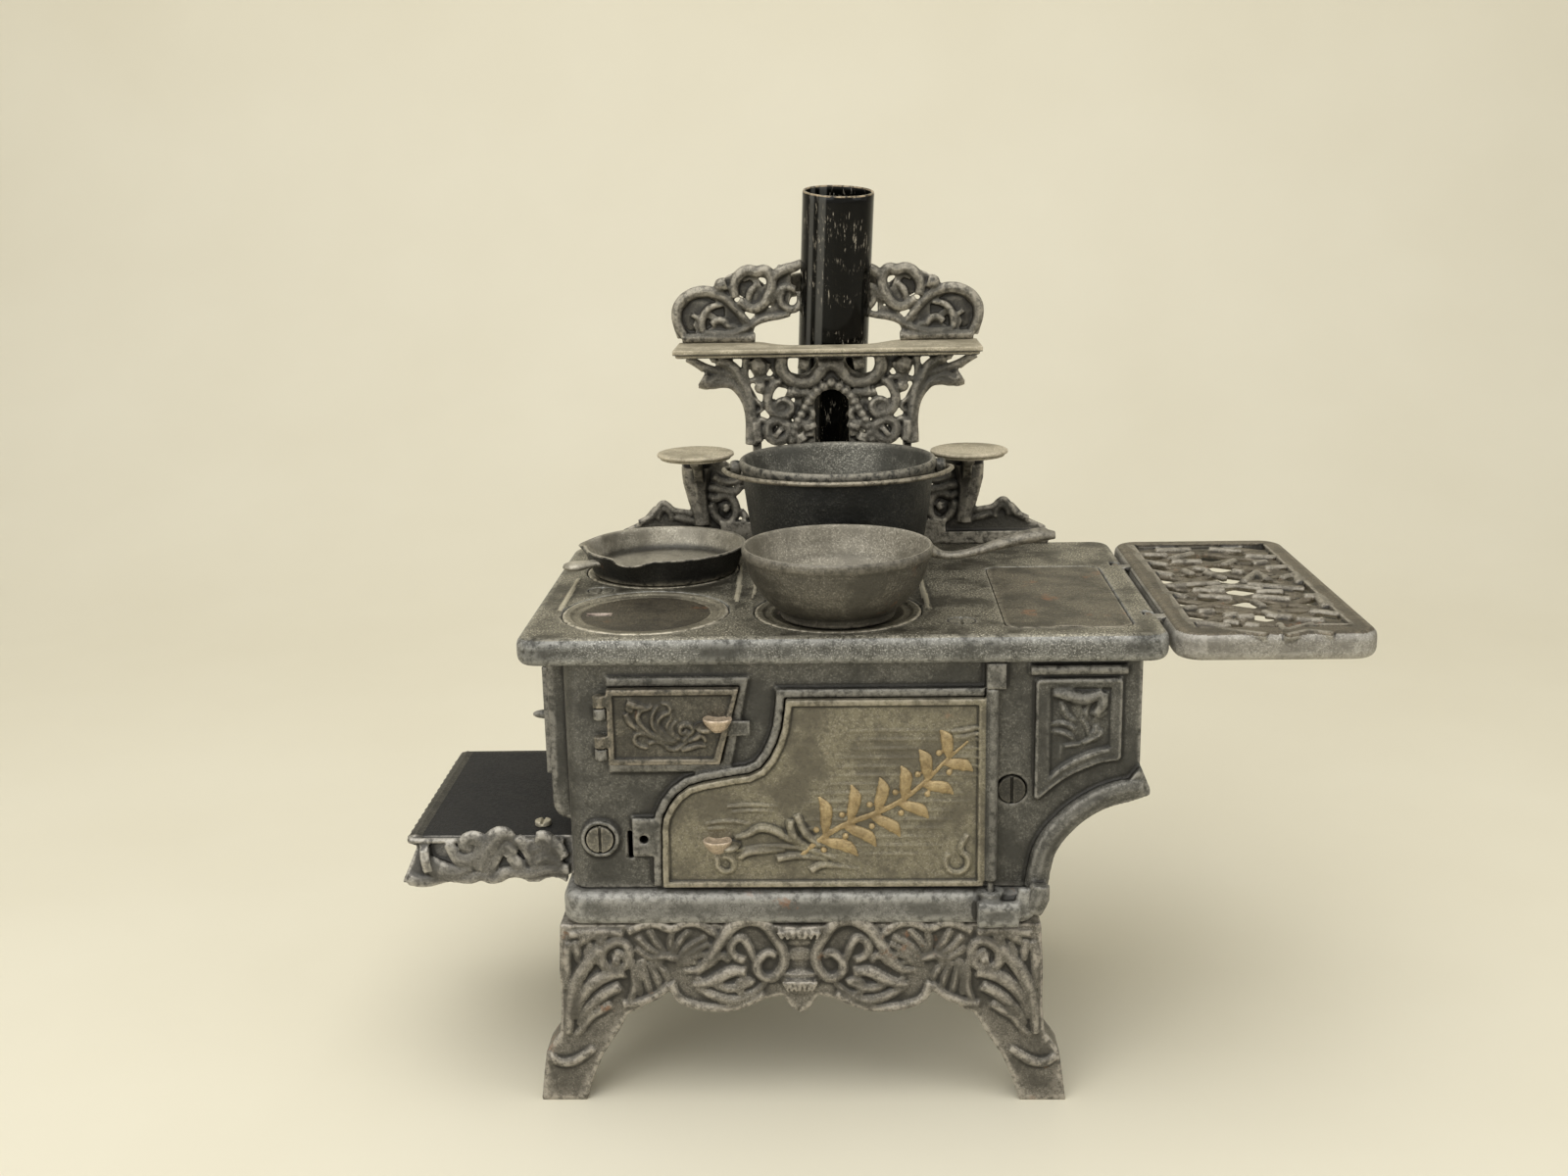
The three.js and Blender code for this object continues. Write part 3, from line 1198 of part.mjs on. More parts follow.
function pan() {
  const z0 = topHeight + seatGap;
  const rim = z0 + panHeight;
  const bowl = panHeight - footHeight;
  const inner = panRadius - panWall;
  const body = turned([
    [panFoot - panWall, z0], [panFoot, z0], [panFoot, z0 + footHeight],
    [panRadius * 0.86, z0 + footHeight + bowl * 0.3], [panRadius * 0.96, z0 + footHeight + bowl * 0.66],
    [panRadius, rim], [inner, rim], [panRadius * 0.96 - panWall, z0 + footHeight + bowl * 0.66],
    [panRadius * 0.84 - panWall, z0 + footHeight + bowl * 0.34], [panFoot, z0 + footHeight + panWall],
    [0, z0 + footHeight + panWall], [0, z0 + footHeight], [panFoot - panWall, z0 + footHeight],
  ], 32);
  const root = rim - 2.2 * panHandleThick;
  const start = panRadius - panWall;
  const half = panHandleThick / 2;
  const side = outline([
    [start, root - half * 1.6], [start + panHandleLength * 0.25, root - half * 0.6],
    [start + panHandleLength * 0.7, root + panHandleRise - half * 1.4],
    [start + panHandleLength, root + panHandleRise],
    [start + panHandleLength, root + panHandleRise + half],
    [start + panHandleLength * 0.8, root + panHandleRise + half],
    [start + panHandleLength * 0.3, root + panHandleRise * 0.5 + half], [start, root + half * 1.6],
  ]);
  const wide = panHandleWidth / 2;
  const plan = outline([
    [start, -wide], [start + panHandleLength * 0.2, -wide * 0.55],
    [start + panHandleLength * 0.7, -wide * 0.85],
    ...arcLine(start + panHandleLength - wide, 0, wide, -80, 80, 8),
    [start + panHandleLength * 0.7, wide * 0.85], [start + panHandleLength * 0.2, wide * 0.55],
    [start, wide],
  ]);
  const handle = standing(side, -panHandleWidth, panHandleWidth)
    .intersect(lying(plan, 0, 2 * topHeight)).translate([panX, panY, 0]);
  const hollow = solid(turned([
    [0, z0 + footHeight + panWall], [panFoot, z0 + footHeight + panWall], [inner, rim + cutOver],
    [0, rim + cutOver],
  ], 32)).translate([panX, panY, 0]);
  return solid(body.translate(panX, panY, 0)).add(handle.subtract(hollow));
}

function pot() {
  const z0 = topHeight + seatGap;
  const rim = z0 + potHeight;
  const body = turned([
    [0, z0], [potFoot - potWall, z0], [potFoot, z0 + potWall], [potRadius, rim - 2 * potLip - potWall],
    [potRadius + potLip, rim - 2 * potLip], [potRadius + potLip, rim], [potRadius - potWall, rim],
    [potFoot - potWall, z0 + 2 * potWall], [0, z0 + potWall],
  ], 40);
  const earZ = rim - earDrop;
  const ears = [-1, 1].map((side) => {
    const x0 = side * (potRadius - potWall / 2);
    const x1 = side * (potRadius + earReach);
    return rodX(0, earZ, Math.min(x0, x1), Math.max(x0, x1), earWidth / 2, 16);
  });
  const holes = [-1, 1].map((side) => {
    const x0 = side * (potRadius + potLip / 2);
    const x1 = side * (potRadius + earReach + cutOver);
    return rodX(0, earZ, Math.min(x0, x1), Math.max(x0, x1), earHole, 12);
  });
  return solid(body).add(join(ears)).subtract(join(holes)).translate([potX, potY, 0]);
}

// Wire bail: its ends turn in the pot's ears and it lies forward round the rim
function bail() {
  const inner = potRadius + potLip + seatGap;
  const outer = potRadius + earReach + 2 * bailWire;
  const z = topHeight + seatGap + potHeight - earDrop;
  const bow = Array.from({ length: 17 }, (_, i) => {
    const turn = (10 + (160 * i) / 16) * deg;
    const out = bailFront * Math.sin(turn);
    return new THREE.Vector3(outer * Math.cos(turn), -out, bailWire * Math.sin(turn));
  });
  const end = (side) => [
    new THREE.Vector3(side * inner, 0, 0), new THREE.Vector3(side * (inner + outer) / 2, 0, 0),
    new THREE.Vector3(side * (outer - bailWire / 2), -bailWire / 2, 0),
  ];
  const path = new THREE.CatmullRomCurve3([...end(1), ...bow, ...end(-1).reverse()], false, "centripetal");
  const section = new THREE.Shape();
  section.absarc(0, 0, bailWire, 0, 360 * deg, false);
  const wire = new THREE.ExtrudeGeometry(section, {
    steps: 44, extrudePath: path, bevelEnabled: false, curveSegments: 2,
  });
  return solid(wire).translate([potX, potY, z]);
}

function skillet() {
  const z0 = topHeight + seatGap;
  const rim = z0 + skilletHeight;
  const body = turned([
    [0, z0], [skilletFoot, z0], [skilletRadius, rim], [skilletRadius - skilletWall, rim],
    [skilletFoot - skilletWall, z0 + skilletWall], [0, z0 + skilletWall],
  ], 60);
  const at = body.attributes.position;
  for (let i = 0; i < at.count; i++) {
    const turn = Math.atan2(at.getY(i), at.getX(i)) / deg;
    const radius = Math.hypot(at.getX(i), at.getY(i));
    const raised = Math.max(0, (at.getZ(i) - z0) / skilletHeight - 0.3);
    if (radius < skilletFoot - 2 * skilletWall) continue;
    const pull = spoutTurns.reduce((sum, spout) => {
      const off = Math.abs(((turn - spout + 540) % 360) - 180);
      return sum + (off < 14 ? Math.cos((off / 14) * 90 * deg) : 0);
    }, 0);
    const grow = 1 + (pull * raised * spoutReach * 1.4) / radius;
    at.setXY(i, at.getX(i) * grow, at.getY(i) * grow);
  }
  const handleLine = [
    [skilletRadius - skilletWall, 0], [skilletRadius + skilletHandleLength - skilletHandleWidth / 2, 0],
  ];
  const wide = skilletHandleWidth / 2;
  const plan = outline([
    [handleLine[0][0], -wide], ...arcLine(handleLine[1][0], 0, wide, -90, 90, 8), [handleLine[0][0], wide],
  ]);
  const handle = lying(plan, rim - 2 * skilletWall, rim - skilletWall / 2)
    .subtract(lying(hangHole(handleLine[1][0], wide * 0.4), rim - skilletHeight, rim + cutOver))
    .rotate([0, 0, skilletHandleTurn]);
  return solid(body).add(handle).translate([skilletX, skilletY, 0]);
}
function hangHole(x, radius) {
  const shape = new THREE.Shape();
  shape.absarc(x, 0, radius, 0, 360 * deg, false);
  return shape;
}

const legFront = frontY - baseLedge + legInset;
const legBack = bodyBackY + baseLedge - legInset;
piece("front_leg_frame", legFrame(legFront, false), castIron);
piece("rear_leg_frame", legFrame(legBack, true), castIron);
piece("base_plate", baseMoulding(), castIron);
piece("front_panel", frontPanel(), castIron);
piece("back_panel", backPanel(), castIron);
piece("left_end_panel", leftEnd(), castIron);
piece("reservoir_end_panel", rightEnd(), castIron);
piece("oven_shell", ovenShell(), darkIron);
piece("firebox_grate", grate(), darkIron);
piece("reservoir_tank", reservoirTank(), darkIron);
piece("cooktop", cooktop(), castIron);
for (const [name, x, y] of lids) piece(name, lid(x, y), castIron);
piece("reservoir_cover", reservoirCover(), castIron);
piece("side_shelf", sideShelf(), castIron);
piece("hearth_shelf", hearth(), darkIron);
piece("hearth_screw", screwDown(
  bodyLeft - hearthScrewIn - ledgeReach, hearthFront + hearthScrewIn, hearthTop + seatGap,
  boltRadius + wall / 2, boltHeadThick, hearthPlate + ledgeReach,
), castIron);
piece("fire_door", fireDoor(), castIron);
piece("oven_door", ovenDoor(), castIron);
piece("end_door", endDoor(), castIron);
piece("left_tie_bolt", tieBolt(leftBoltX, leftBoltZ, frontY), castIron);
piece("right_tie_bolt", tieBolt(rightBoltX, rightBoltZ, frontY + wall / 2), darkIron);
piece("left_tie_nut", tieNut(leftBoltX, leftBoltZ), darkIron);
piece("right_tie_nut", tieNut(rightBoltX, rightBoltZ), darkIron);
piece("left_top_screw", screwDown(
  leftScrewX, leftScrewY, topHeight - topScrewThick, topScrewHead, topScrewThick, topScrewLength,
), castIron);
piece("right_top_screw", screwDown(
  rightScrewX, rightScrewY, topHeight - topScrewThick, topScrewHead, topScrewThick, topScrewLength,
), castIron);
piece("flue_box", flueBox(), darkIron);
piece("stove_pipe", stovePipe(), blackPaint);
piece("back_guard", backGuard(), castIron);
piece("left_trivet", trivet(guardMiddle - trivetAside), wornIron);
piece("right_trivet", trivet(guardMiddle + trivetAside), wornIron);
piece("high_shelf", highShelf(), wornIron);
piece("shelf_crest", crest(), castIron);
piece("saucepan", pan(), skilletIron);
piece("skillet", skillet(), skilletIron);
piece("pot", pot(), castIron);
piece("pot_bail", bail(), brightSteel);

// Stand the whole on the middle of its own footprint
const bounds = new THREE.Box3().setFromObject(stove);
const centre = bounds.getCenter(new THREE.Vector3());
stove.position.set(-centre.x, -centre.y, -bounds.min.z);
const model = new THREE.Group();
model.add(stove);
export default model;
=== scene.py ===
"""Looks of a cast iron toy kitchen stove with its cookware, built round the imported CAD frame.

Lengths in the tables are millimetres in the frame's own axes: X right, Y back, Z up. A stroke
of ornament is a list of points and the radii that it has from its first point to its last.
"""

import math
import random

import bmesh
import bpy
import numpy as np
from mathutils import Matrix, Vector


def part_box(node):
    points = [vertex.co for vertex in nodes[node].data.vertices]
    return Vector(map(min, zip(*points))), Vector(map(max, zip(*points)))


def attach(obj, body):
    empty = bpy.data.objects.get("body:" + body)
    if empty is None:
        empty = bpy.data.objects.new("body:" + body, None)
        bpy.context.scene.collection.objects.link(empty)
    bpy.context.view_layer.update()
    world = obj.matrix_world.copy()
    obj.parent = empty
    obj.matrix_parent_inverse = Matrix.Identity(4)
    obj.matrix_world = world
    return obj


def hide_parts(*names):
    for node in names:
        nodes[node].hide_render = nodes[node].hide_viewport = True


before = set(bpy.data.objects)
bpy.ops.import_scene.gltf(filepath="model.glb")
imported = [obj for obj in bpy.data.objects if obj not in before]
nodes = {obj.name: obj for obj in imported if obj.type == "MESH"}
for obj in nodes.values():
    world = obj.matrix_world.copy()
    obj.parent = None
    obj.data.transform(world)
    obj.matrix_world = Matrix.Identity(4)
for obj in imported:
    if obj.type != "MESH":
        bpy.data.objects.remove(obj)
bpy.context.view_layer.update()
scene = bpy.context.scene
MM = 0.001
random.seed(7)


# ---- Camera, floor and light
# The photograph's angle: a little above the cooktop, almost square on. A pale table that
# sweeps up behind the stove, one large soft lamp overhead and two weaker ones.
def colour(code):
    """The linear colour of an sRGB hex code."""
    parts = [int(code[i : i + 2], 16) / 255 for i in (1, 3, 5)]
    return [p / 12.92 if p <= 0.04045 else ((p + 0.055) / 1.055) ** 2.4 for p in parts] + [1]


def add(tree, kind, inputs=None, **settings):
    """Adds a node. An input takes a value, a socket, or a node, whose first live output it reads."""
    node = tree.nodes.new("ShaderNode" + kind)
    for key, value in settings.items():
        setattr(node, key, value)
    for key, value in (inputs or {}).items():
        if isinstance(value, bpy.types.Node):
            value = next(socket for socket in value.outputs if socket.enabled)
        if isinstance(value, bpy.types.NodeSocket):
            tree.links.new(value, node.inputs[key])
        else:
            node.inputs[key].default_value = value
    return node


def new_material(name):
    material = bpy.data.materials.new(name)
    material.use_nodes = True
    material.node_tree.nodes.clear()
    return material, material.node_tree


view = bpy.data.cameras.new("camera")
view.sensor_width = 36
view.lens = 39.12
view.clip_start = 0.01
camera = bpy.data.objects.new("camera", view)
eye = Vector((-8.93, -614.29, 317.43)) * MM
turned, down, rolled = 2.05, 14.16, -1.09  # degrees
camera.matrix_world = (
    Matrix.Translation(eye)
    @ Matrix.Rotation(math.radians(turned), 4, "Z")
    @ Matrix.Rotation(math.radians(90 - down), 4, "X")
    @ Matrix.Rotation(math.radians(rolled), 4, "Z")
)
scene.collection.objects.link(camera)
scene.camera = camera

scene.view_settings.view_transform = "Standard"
world = bpy.data.worlds.new("studio")
world.use_nodes = True
scene.world = world
tree = world.node_tree
tree.nodes.clear()
path = add(tree, "LightPath")
seen = path.outputs["Is Camera Ray"]
for ray in ("Is Glossy Ray", "Is Transmission Ray"):
    seen = add(tree, "Math", {0: seen, 1: path.outputs[ray]}, operation="MAXIMUM")
room = add(tree, "Background", {"Color": colour("#f1f0ee"), "Strength": 0.5})
behind = add(tree, "Background", {"Color": colour("#f3f0e6"), "Strength": 1.0})
both = add(tree, "MixShader", {0: seen, 1: room, 2: behind})
add(tree, "OutputWorld", {"Surface": both})

# Painted board: matt, in very soft clouds of two near shades, each 143 mm across.
material, tree = new_material("pale_table")
coords = add(tree, "TexCoord").outputs["Object"]
cloud = add(tree, "TexNoise", {"Vector": coords, "Scale": 1000 / 142.86, "Detail": 3.0})
tint = add(tree, "Mix", {0: cloud, 6: colour("#ded7c0"), 7: colour("#e6e0cb")}, data_type="RGBA")
surface = add(tree, "BsdfPrincipled", {"Base Color": tint, "Roughness": 0.55})
add(tree, "OutputMaterial", {"Surface": surface})
length, width, front = 4.2, 8, -1.7  # metres, as is the rest of the table
flat, back, bend = 2.2, 0.5, 0.5
pace = 0.9 * bend
arc = pace * math.pi / 2
bm = bmesh.new()
bmesh.ops.create_grid(bm, x_segments=2, y_segments=90, size=0.5)
for vert in bm.verts:
    along = (vert.co.y + 0.5) * length
    y, z = along + front, 0
    if flat <= along < flat + arc:
        turn = (along - flat) / pace
        y, z = back + bend * math.sin(turn), bend * (1 - math.cos(turn))
    elif along >= flat:
        y, z = back + bend, bend + along - flat - arc
    vert.co = Vector((vert.co.x * width, y, z))
table = bpy.data.objects.new("table", bpy.data.meshes.new("table"))
bm.to_mesh(table.data)
bm.free()
table.data.materials.append(material)
table.data.shade_smooth()
scene.collection.objects.link(table)

stove_middle = Vector((0, 0, 0.12))
for name, place, size, power in (
    ("overhead_lamp", (-0.15, -0.35, 1.25), 1.3, 12.0),
    ("front_lamp", (-0.75, -1.25, 0.75), 0.9, 7.0),
    ("side_lamp", (1.1, -0.55, 0.6), 0.7, 2.5),
):
    lamp = bpy.data.lights.new(name, "AREA")
    lamp.size = size
    lamp.energy = power
    light = bpy.data.objects.new(name, lamp)
    light.location = place
    light.rotation_euler = (stove_middle - Vector(place)).to_track_quat("-Z", "Y").to_euler()
    scene.collection.objects.link(light)


# ---- Leg frames
# Two equal sand castings in grey iron, front and rear: acanthus scrolls and bird wings either
# side of a fluted urn, knees with curled leaves. The base rests on them.
# Sizes in millimetres: stains in the polish, grains of the moulding sand, rubbed patches.
# The light specks are partly sand flecks and partly painted glints, finer in the real skin
# and drawn as coarse as they need to show.
STAIN, GRAIN, RUB, SPECK = 16.667, 1.6129, 2.6316, 0.66667


def masked(tree, amount, *masks):
    """Keeps an amount where every mask is past its first value, in full past its second."""
    for source, low, high in masks:
        mask = add(
            tree, "MapRange", {"Value": source, "From Min": low, "From Max": high},
            interpolation_type="SMOOTHSTEP",
        )
        amount = add(tree, "Math", {0: mask, 1: amount}, operation="MULTIPLY")
    return amount


def iron(
    name, shades, painted_hollow_shade="#16140f", rust=0.0, specks=0.6, rough=0.46, metal=0.4, rub=0.5, peel=1.0,
):
    """Sand-cast grey iron with its black polish worn through: a grainy skin with light specks,
    partly sand flecks and partly painted glints, hollows darkened with painted shade, rubbed
    edges and a little rust. The shades are dark, base, speck and rubbed."""
    material, tree = new_material(name)
    dark, base, light, worn = shades.split()
    coords = add(tree, "TexCoord").outputs["Object"]
    fields = [(STAIN, 4, 0.65, 0), (GRAIN, 4, 0.75, 0), (SPECK, 2, 0.7, 0.3), (RUB, 4, 0.7, 0.9)]
    if rust:
        fields.append((STAIN, 4, 0.7, 1.7))
    patterns = []
    for size, detail, roughness, shift in fields:
        place = add(tree, "VectorMath", {0: coords, 1: (shift, shift / 2, -shift)}) if shift else coords
        patterns.append(add(
            tree, "TexNoise",
            {"Vector": place, "Scale": 1000 / size, "Detail": detail, "Roughness": roughness},
        ))
    stains, grain, sand_and_glints, patches, *rusty = patterns
    height = add(tree, "Attribute", attribute_name="relief").outputs["Fac"]
    layers = [
        (dark, 0.7, (stains, 0.6, 0.38)),
        (dark, 0.6, (grain, 0.54, 0.4)),
        # Light specks: partly sand flecks, partly painted glints.
        (light, specks, (sand_and_glints, 0.48, 0.7), (stains, 0.36, 0.58)),
        (worn, rub, (height, 0.06, 0.4), (patches, 0.34, 0.6)),
        # Hollows darkened towards near black: painted shade.
        (painted_hollow_shade, 0.85, (height, -0.04, -0.32)),
    ]
    for spots in rusty:
        layers.append(("#83593a", 0.65, (spots, 0.7 - 0.1 * rust, 0.8 - 0.1 * rust)))
    body = colour(base)
    for shade, amount, *masks in layers:
        cover = masked(tree, amount, *masks)
        body = add(tree, "Mix", {0: cover, 6: body, 7: colour(shade)}, data_type="RGBA")
    skin = add(tree, "Bump", {"Height": stains, "Strength": 0.5, "Distance": 0.8 * MM * peel})
    skin = add(tree, "Bump", {"Height": grain, "Strength": 0.8, "Distance": 0.3 * MM * peel, "Normal": skin})
    skin = add(tree, "Bump", {"Height": sand_and_glints, "Strength": 0.7, "Distance": 0.2 * MM, "Normal": skin})
    gloss = add(
        tree, "MapRange",
        {"Value": grain, "From Min": 0.3, "From Max": 0.7, "To Min": rough - 0.1, "To Max": rough + 0.12},
    )
    surface = add(
        tree, "BsdfPrincipled",
        {"Base Color": body, "Roughness": gloss, "Metallic": metal, "Normal": skin},
    )
    add(tree, "OutputMaterial", {"Surface": surface})
    return material


def evaluated(source):
    """The mesh of an object with its modifiers done. The object goes."""
    depsgraph = bpy.context.evaluated_depsgraph_get()
    mesh = bpy.data.meshes.new_from_object(source.evaluated_get(depsgraph))
    data = source.data
    bpy.data.objects.remove(source)
    if isinstance(data, bpy.types.Mesh):
        bpy.data.meshes.remove(data)
    return mesh


def relief(mesh, rounds=18):
    """Stores how far each point stands above (+) or below its surroundings, in millimetres."""
    count = len(mesh.vertices)
    places = np.empty(count * 3)
    mesh.vertices.foreach_get("co", places)
    places = places.reshape(-1, 3)
    normals = np.empty(count * 3)
    mesh.vertices.foreach_get("normal", normals)
    ends = np.empty(len(mesh.edges) * 2, int)
    mesh.edges.foreach_get("vertices", ends)
    first, second = ends[::2], ends[1::2]
    near = np.maximum(np.bincount(ends, minlength=count), 1)
    level = places.copy()
    for _ in range(rounds):
        for axis in range(3):
            total = np.bincount(first, level[second, axis], count)
            total += np.bincount(second, level[first, axis], count)
            level[:, axis] = total / near
    height = ((places - level) * normals.reshape(-1, 3)).sum(1) / MM
    attribute = mesh.attributes.new("relief", "FLOAT", "POINT")
    attribute.data.foreach_set("value", height.astype(np.float32))


def joined(name, meshes):
    bm = bmesh.new()
    for mesh in meshes:
        bm.from_mesh(mesh)
    raw = bpy.data.objects.new(name + "_raw", bpy.data.meshes.new(name + "_raw"))
    bm.to_mesh(raw.data)
    bm.free()
    scene.collection.objects.link(raw)
    return raw


def fused(name, meshes, voxel, keep, soften=2):
    """Melts meshes into one skin of voxels in millimetres, softens it as iron rounds every edge
    of its mould, and keeps that share of its faces."""
    raw = joined(name, meshes)
    skin = raw.modifiers.new("skin", "REMESH")
    skin.mode = "VOXEL"
    skin.voxel_size = voxel * MM
    round_off = raw.modifiers.new("round_off", "SMOOTH")
    round_off.factor = 0.5
    round_off.iterations = soften
    if keep < 1:
        fewer = raw.modifiers.new("fewer", "DECIMATE")
        fewer.ratio = keep
    mesh = evaluated(raw)
    mesh.shade_smooth()
    mesh.name = name
    relief(mesh)
    return mesh


def placed(name, mesh, finishes, body, *replaced):
    piece = bpy.data.objects.new(name, mesh)
    mesh.materials.clear()
    for finish in finishes if isinstance(finishes, tuple) else (finishes,):
        mesh.materials.append(finish)
    scene.collection.objects.link(piece)
    if replaced:
        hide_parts(*replaced)
    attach(piece, body)
    return piece


def cast(name, node, voxel, keep, finishes, body="stove", raised=(), soften=2):
    """One casting in a node's place: its solid with what is raised on it."""
    mesh = fused(name, [nodes[node].data, *raised], voxel, keep, soften)
    return placed(name, mesh, finishes, body, node)


def ridges(strokes, depth, flat=1.0, middle=None, across="XZ", swell=1.0):
    """Raised strokes in a plane at a depth, flattened on to it, mirrored where a middle is given."""
    curve = bpy.data.curves.new("ridges", "CURVE")
    curve.dimensions = "3D"
    curve.bevel_depth = swell * MM
    curve.bevel_resolution = 2
    curve.resolution_u = 4
    curve.use_fill_caps = True
    for points, radii in strokes:
        for side in (1, -1)[: 1 if middle is None else 2]:
            spline = curve.splines.new("BEZIER")
            spline.bezier_points.add(len(points) - 1)
            for i, (point, (a, b)) in enumerate(zip(spline.bezier_points, points)):
                if side < 0:
                    a = 2 * middle - a
                point.co = Vector((a, 0, b)) * MM
                point.handle_left_type = point.handle_right_type = "AUTO"
                at = i / (len(points) - 1) * (len(radii) - 1)
                low = min(int(at), len(radii) - 2)
                point.radius = radii[low] + (radii[low + 1] - radii[low]) * (at - low)
    source = bpy.data.objects.new("ridges", curve)
    scene.collection.objects.link(source)
    mesh = evaluated(source)
    mesh.transform(Matrix.Diagonal((1, flat, 1, 1)))
    depth *= MM
    offset, angle, axis = {
        "XZ": ((0, depth, 0), 0, "X"), "YZ": ((depth, 0, 0), 90, "Z"), "XY": ((0, 0, depth), -90, "X"),
    }[across]
    mesh.transform(Matrix.Translation(offset) @ Matrix.Rotation(math.radians(angle), 4, axis))
    return mesh


def spun(profile, centre=(0, 0, 0), steps=96, squeeze=1.0, finest=None):
    """A profile of radius and height turned about its centre, cut finer where a length is given."""
    if finest:
        ring_points = [profile[0]]
        for (r0, z0), (r1, z1) in zip(profile, profile[1:]):
            parts = max(1, round(math.hypot(r1 - r0, z1 - z0) / finest))
            for k in range(1, parts + 1):
                ring_points.append((r0 + (r1 - r0) * k / parts, z0 + (z1 - z0) * k / parts))
        profile = ring_points
    bm = bmesh.new()
    verts = [bm.verts.new((r * MM, 0, z * MM)) for r, z in profile]
    edges = [bm.edges.new(pair) for pair in zip(verts, verts[1:])]
    bmesh.ops.spin(
        bm, geom=verts + edges, cent=(0, 0, 0), axis=(0, 0, 1), angle=math.tau, steps=steps, use_merge=True,
    )
    bmesh.ops.remove_doubles(bm, verts=bm.verts, dist=0.01 * MM)
    bmesh.ops.recalc_face_normals(bm, faces=bm.faces)
    bmesh.ops.scale(bm, vec=(1, squeeze, 1), verts=bm.verts)
    bmesh.ops.translate(bm, vec=Vector(centre) * MM, verts=bm.verts)
    mesh = bpy.data.meshes.new("spun")
    bm.to_mesh(mesh)
    bm.free()
    return mesh


# Grey where its high places are rubbed, brown with rust in spots.
leg_iron = iron(
    "rubbed_cast_iron_with_rust", "#413e37 #6e695f #b4aea1 #c4bcae",
    rust=0.9, specks=0.4, rub=0.55,
)
APRON = [
    ([(-64.1, 49.3), (-59.6, 49.9), (-56.2, 53.2), (-52.4, 59.2), (-49.2, 64), (-45.3, 67.2), (-40.9, 68),
      (-36.5, 66.3), (-33.3, 62.1), (-30.9, 57.3), (-30.3, 53.1), (-31.9, 48.9), (-35.3, 46.6), (-38.5, 48),
      (-39.5, 51.3), (-37.9, 54.3), (-35.1, 55.8), (-33.1, 54.9)], [0.5, 1.3, 1.5, 1.3, 1.1, 1.1, 1, 0.8]),
    ([(-44, 53.1), (-47.2, 55), (-48.3, 58), (-46.8, 60.7), (-44.6, 61.3), (-42.7, 59.2), (-41.1, 55.5),
      (-39, 50.7)], [0.8, 1, 0.9, 0.6]),
    ([(-43.5, 48.9), (-48.5, 48.9), (-53, 46.5), (-57.5, 44.7), (-61.4, 44.1)], [1, 1.5, 1.3, 0.6]),
    ([(-42.5, 44.7), (-47.6, 42.8), (-52, 43.5), (-55.9, 44.7)], [0.8, 1.3, 0.5]),
    ([(-42.1, 40.1), (-47.1, 38.3), (-52.1, 39.2), (-56.5, 41), (-60.4, 42.9)], [0.8, 1.3, 1.1, 0.5]),
    ([(-41.1, 44.7), (-43.6, 45.9), (-45.9, 44.4), (-45.6, 41.6), (-42.9, 40.4), (-39.5, 42.2),
      (-36.9, 44.9)], [0.8, 0.9, 0.8, 0.5]),
    ([(-69.2, 44.7), (-66.6, 39.2), (-61.7, 36.6), (-55, 35.4), (-48.3, 35.6), (-42.7, 37.5), (-37.3, 40.7)],
      [0.9, 1, 0.9]),
    ([(-82.9, 63.8), (-77.9, 66.2), (-73.4, 66.6), (-68.5, 64.9), (-63.5, 66.8), (-58, 66.3), (-53.7, 63.1),
      (-51.5, 61.6)], [0.8, 1, 1, 0.7]),
    ([(-67.3, 53.2), (-62.7, 58), (-57, 61.6)], [0.4, 0.7, 0.6]),
    ([(-66.7, 52.6), (-61.1, 56.2), (-55.7, 59.2)], [0.4, 0.7, 0.6]),
    ([(-66.5, 52), (-60.6, 54.4), (-56.4, 55.9)], [0.4, 0.7, 0.5]),
    ([(-66.5, 51.7), (-62.8, 52.3), (-59, 52.3)], [0.4, 0.6, 0.4]),
    ([(-68.1, 54.4), (-65.9, 59.8), (-62.5, 64)], [0.4, 0.7, 0.6]),
    ([(-68.9, 55), (-68.7, 60.4), (-68, 64)], [0.4, 0.7, 0.6]),
    ([(-70, 55.3), (-73.7, 59.9), (-75.7, 64.1)], [0.4, 0.7, 0.6]),
    ([(-70.8, 54.7), (-76, 57.5), (-79.7, 61.7)], [0.4, 0.7, 0.6]),
    ([(-73.9, 54), (-71.1, 54.9), (-68.3, 54.3), (-66.1, 53.7)], [0.7, 1, 0.7]),
    ([(-71.7, 52.6), (-76.1, 54.4), (-80.4, 57.5)], [0.4, 0.7, 0.5]),
    ([(-78.4, 53.2), (-78, 47.8), (-76.6, 41.7)], [0.5, 0.7, 0.5]),
    ([(-76.2, 52.3), (-74.1, 47.2), (-72.9, 42.6)], [0.5, 0.7, 0.5]),
    ([(-79.5, 52.6), (-80.3, 47.2), (-80, 40.5)], [0.5, 0.7, 0.5]),
    ([(-74, 52.3), (-71.3, 49), (-70, 45.9)], [0.5, 0.7, 0.4]),
    ([(-85.7, 36.8), (-81.2, 37.5), (-76.1, 39.2), (-72.1, 41.7), (-69.7, 44.1)], [0.9, 1, 0.9]),
    ([(-82.2, 53.3), (-81.6, 47.2), (-81.8, 42.3), (-83.4, 38)], [0.6, 0.8, 0.7]),
    ([(-60.2, 48.9), (-55.1, 52.6), (-51.7, 55), (-49, 53.2)], [0.7, 1.1, 0.7]),
    ([(-59.7, 46.5), (-57.6, 41.6), (-54.3, 39.2)], [0.5, 0.8, 0.4]),
]
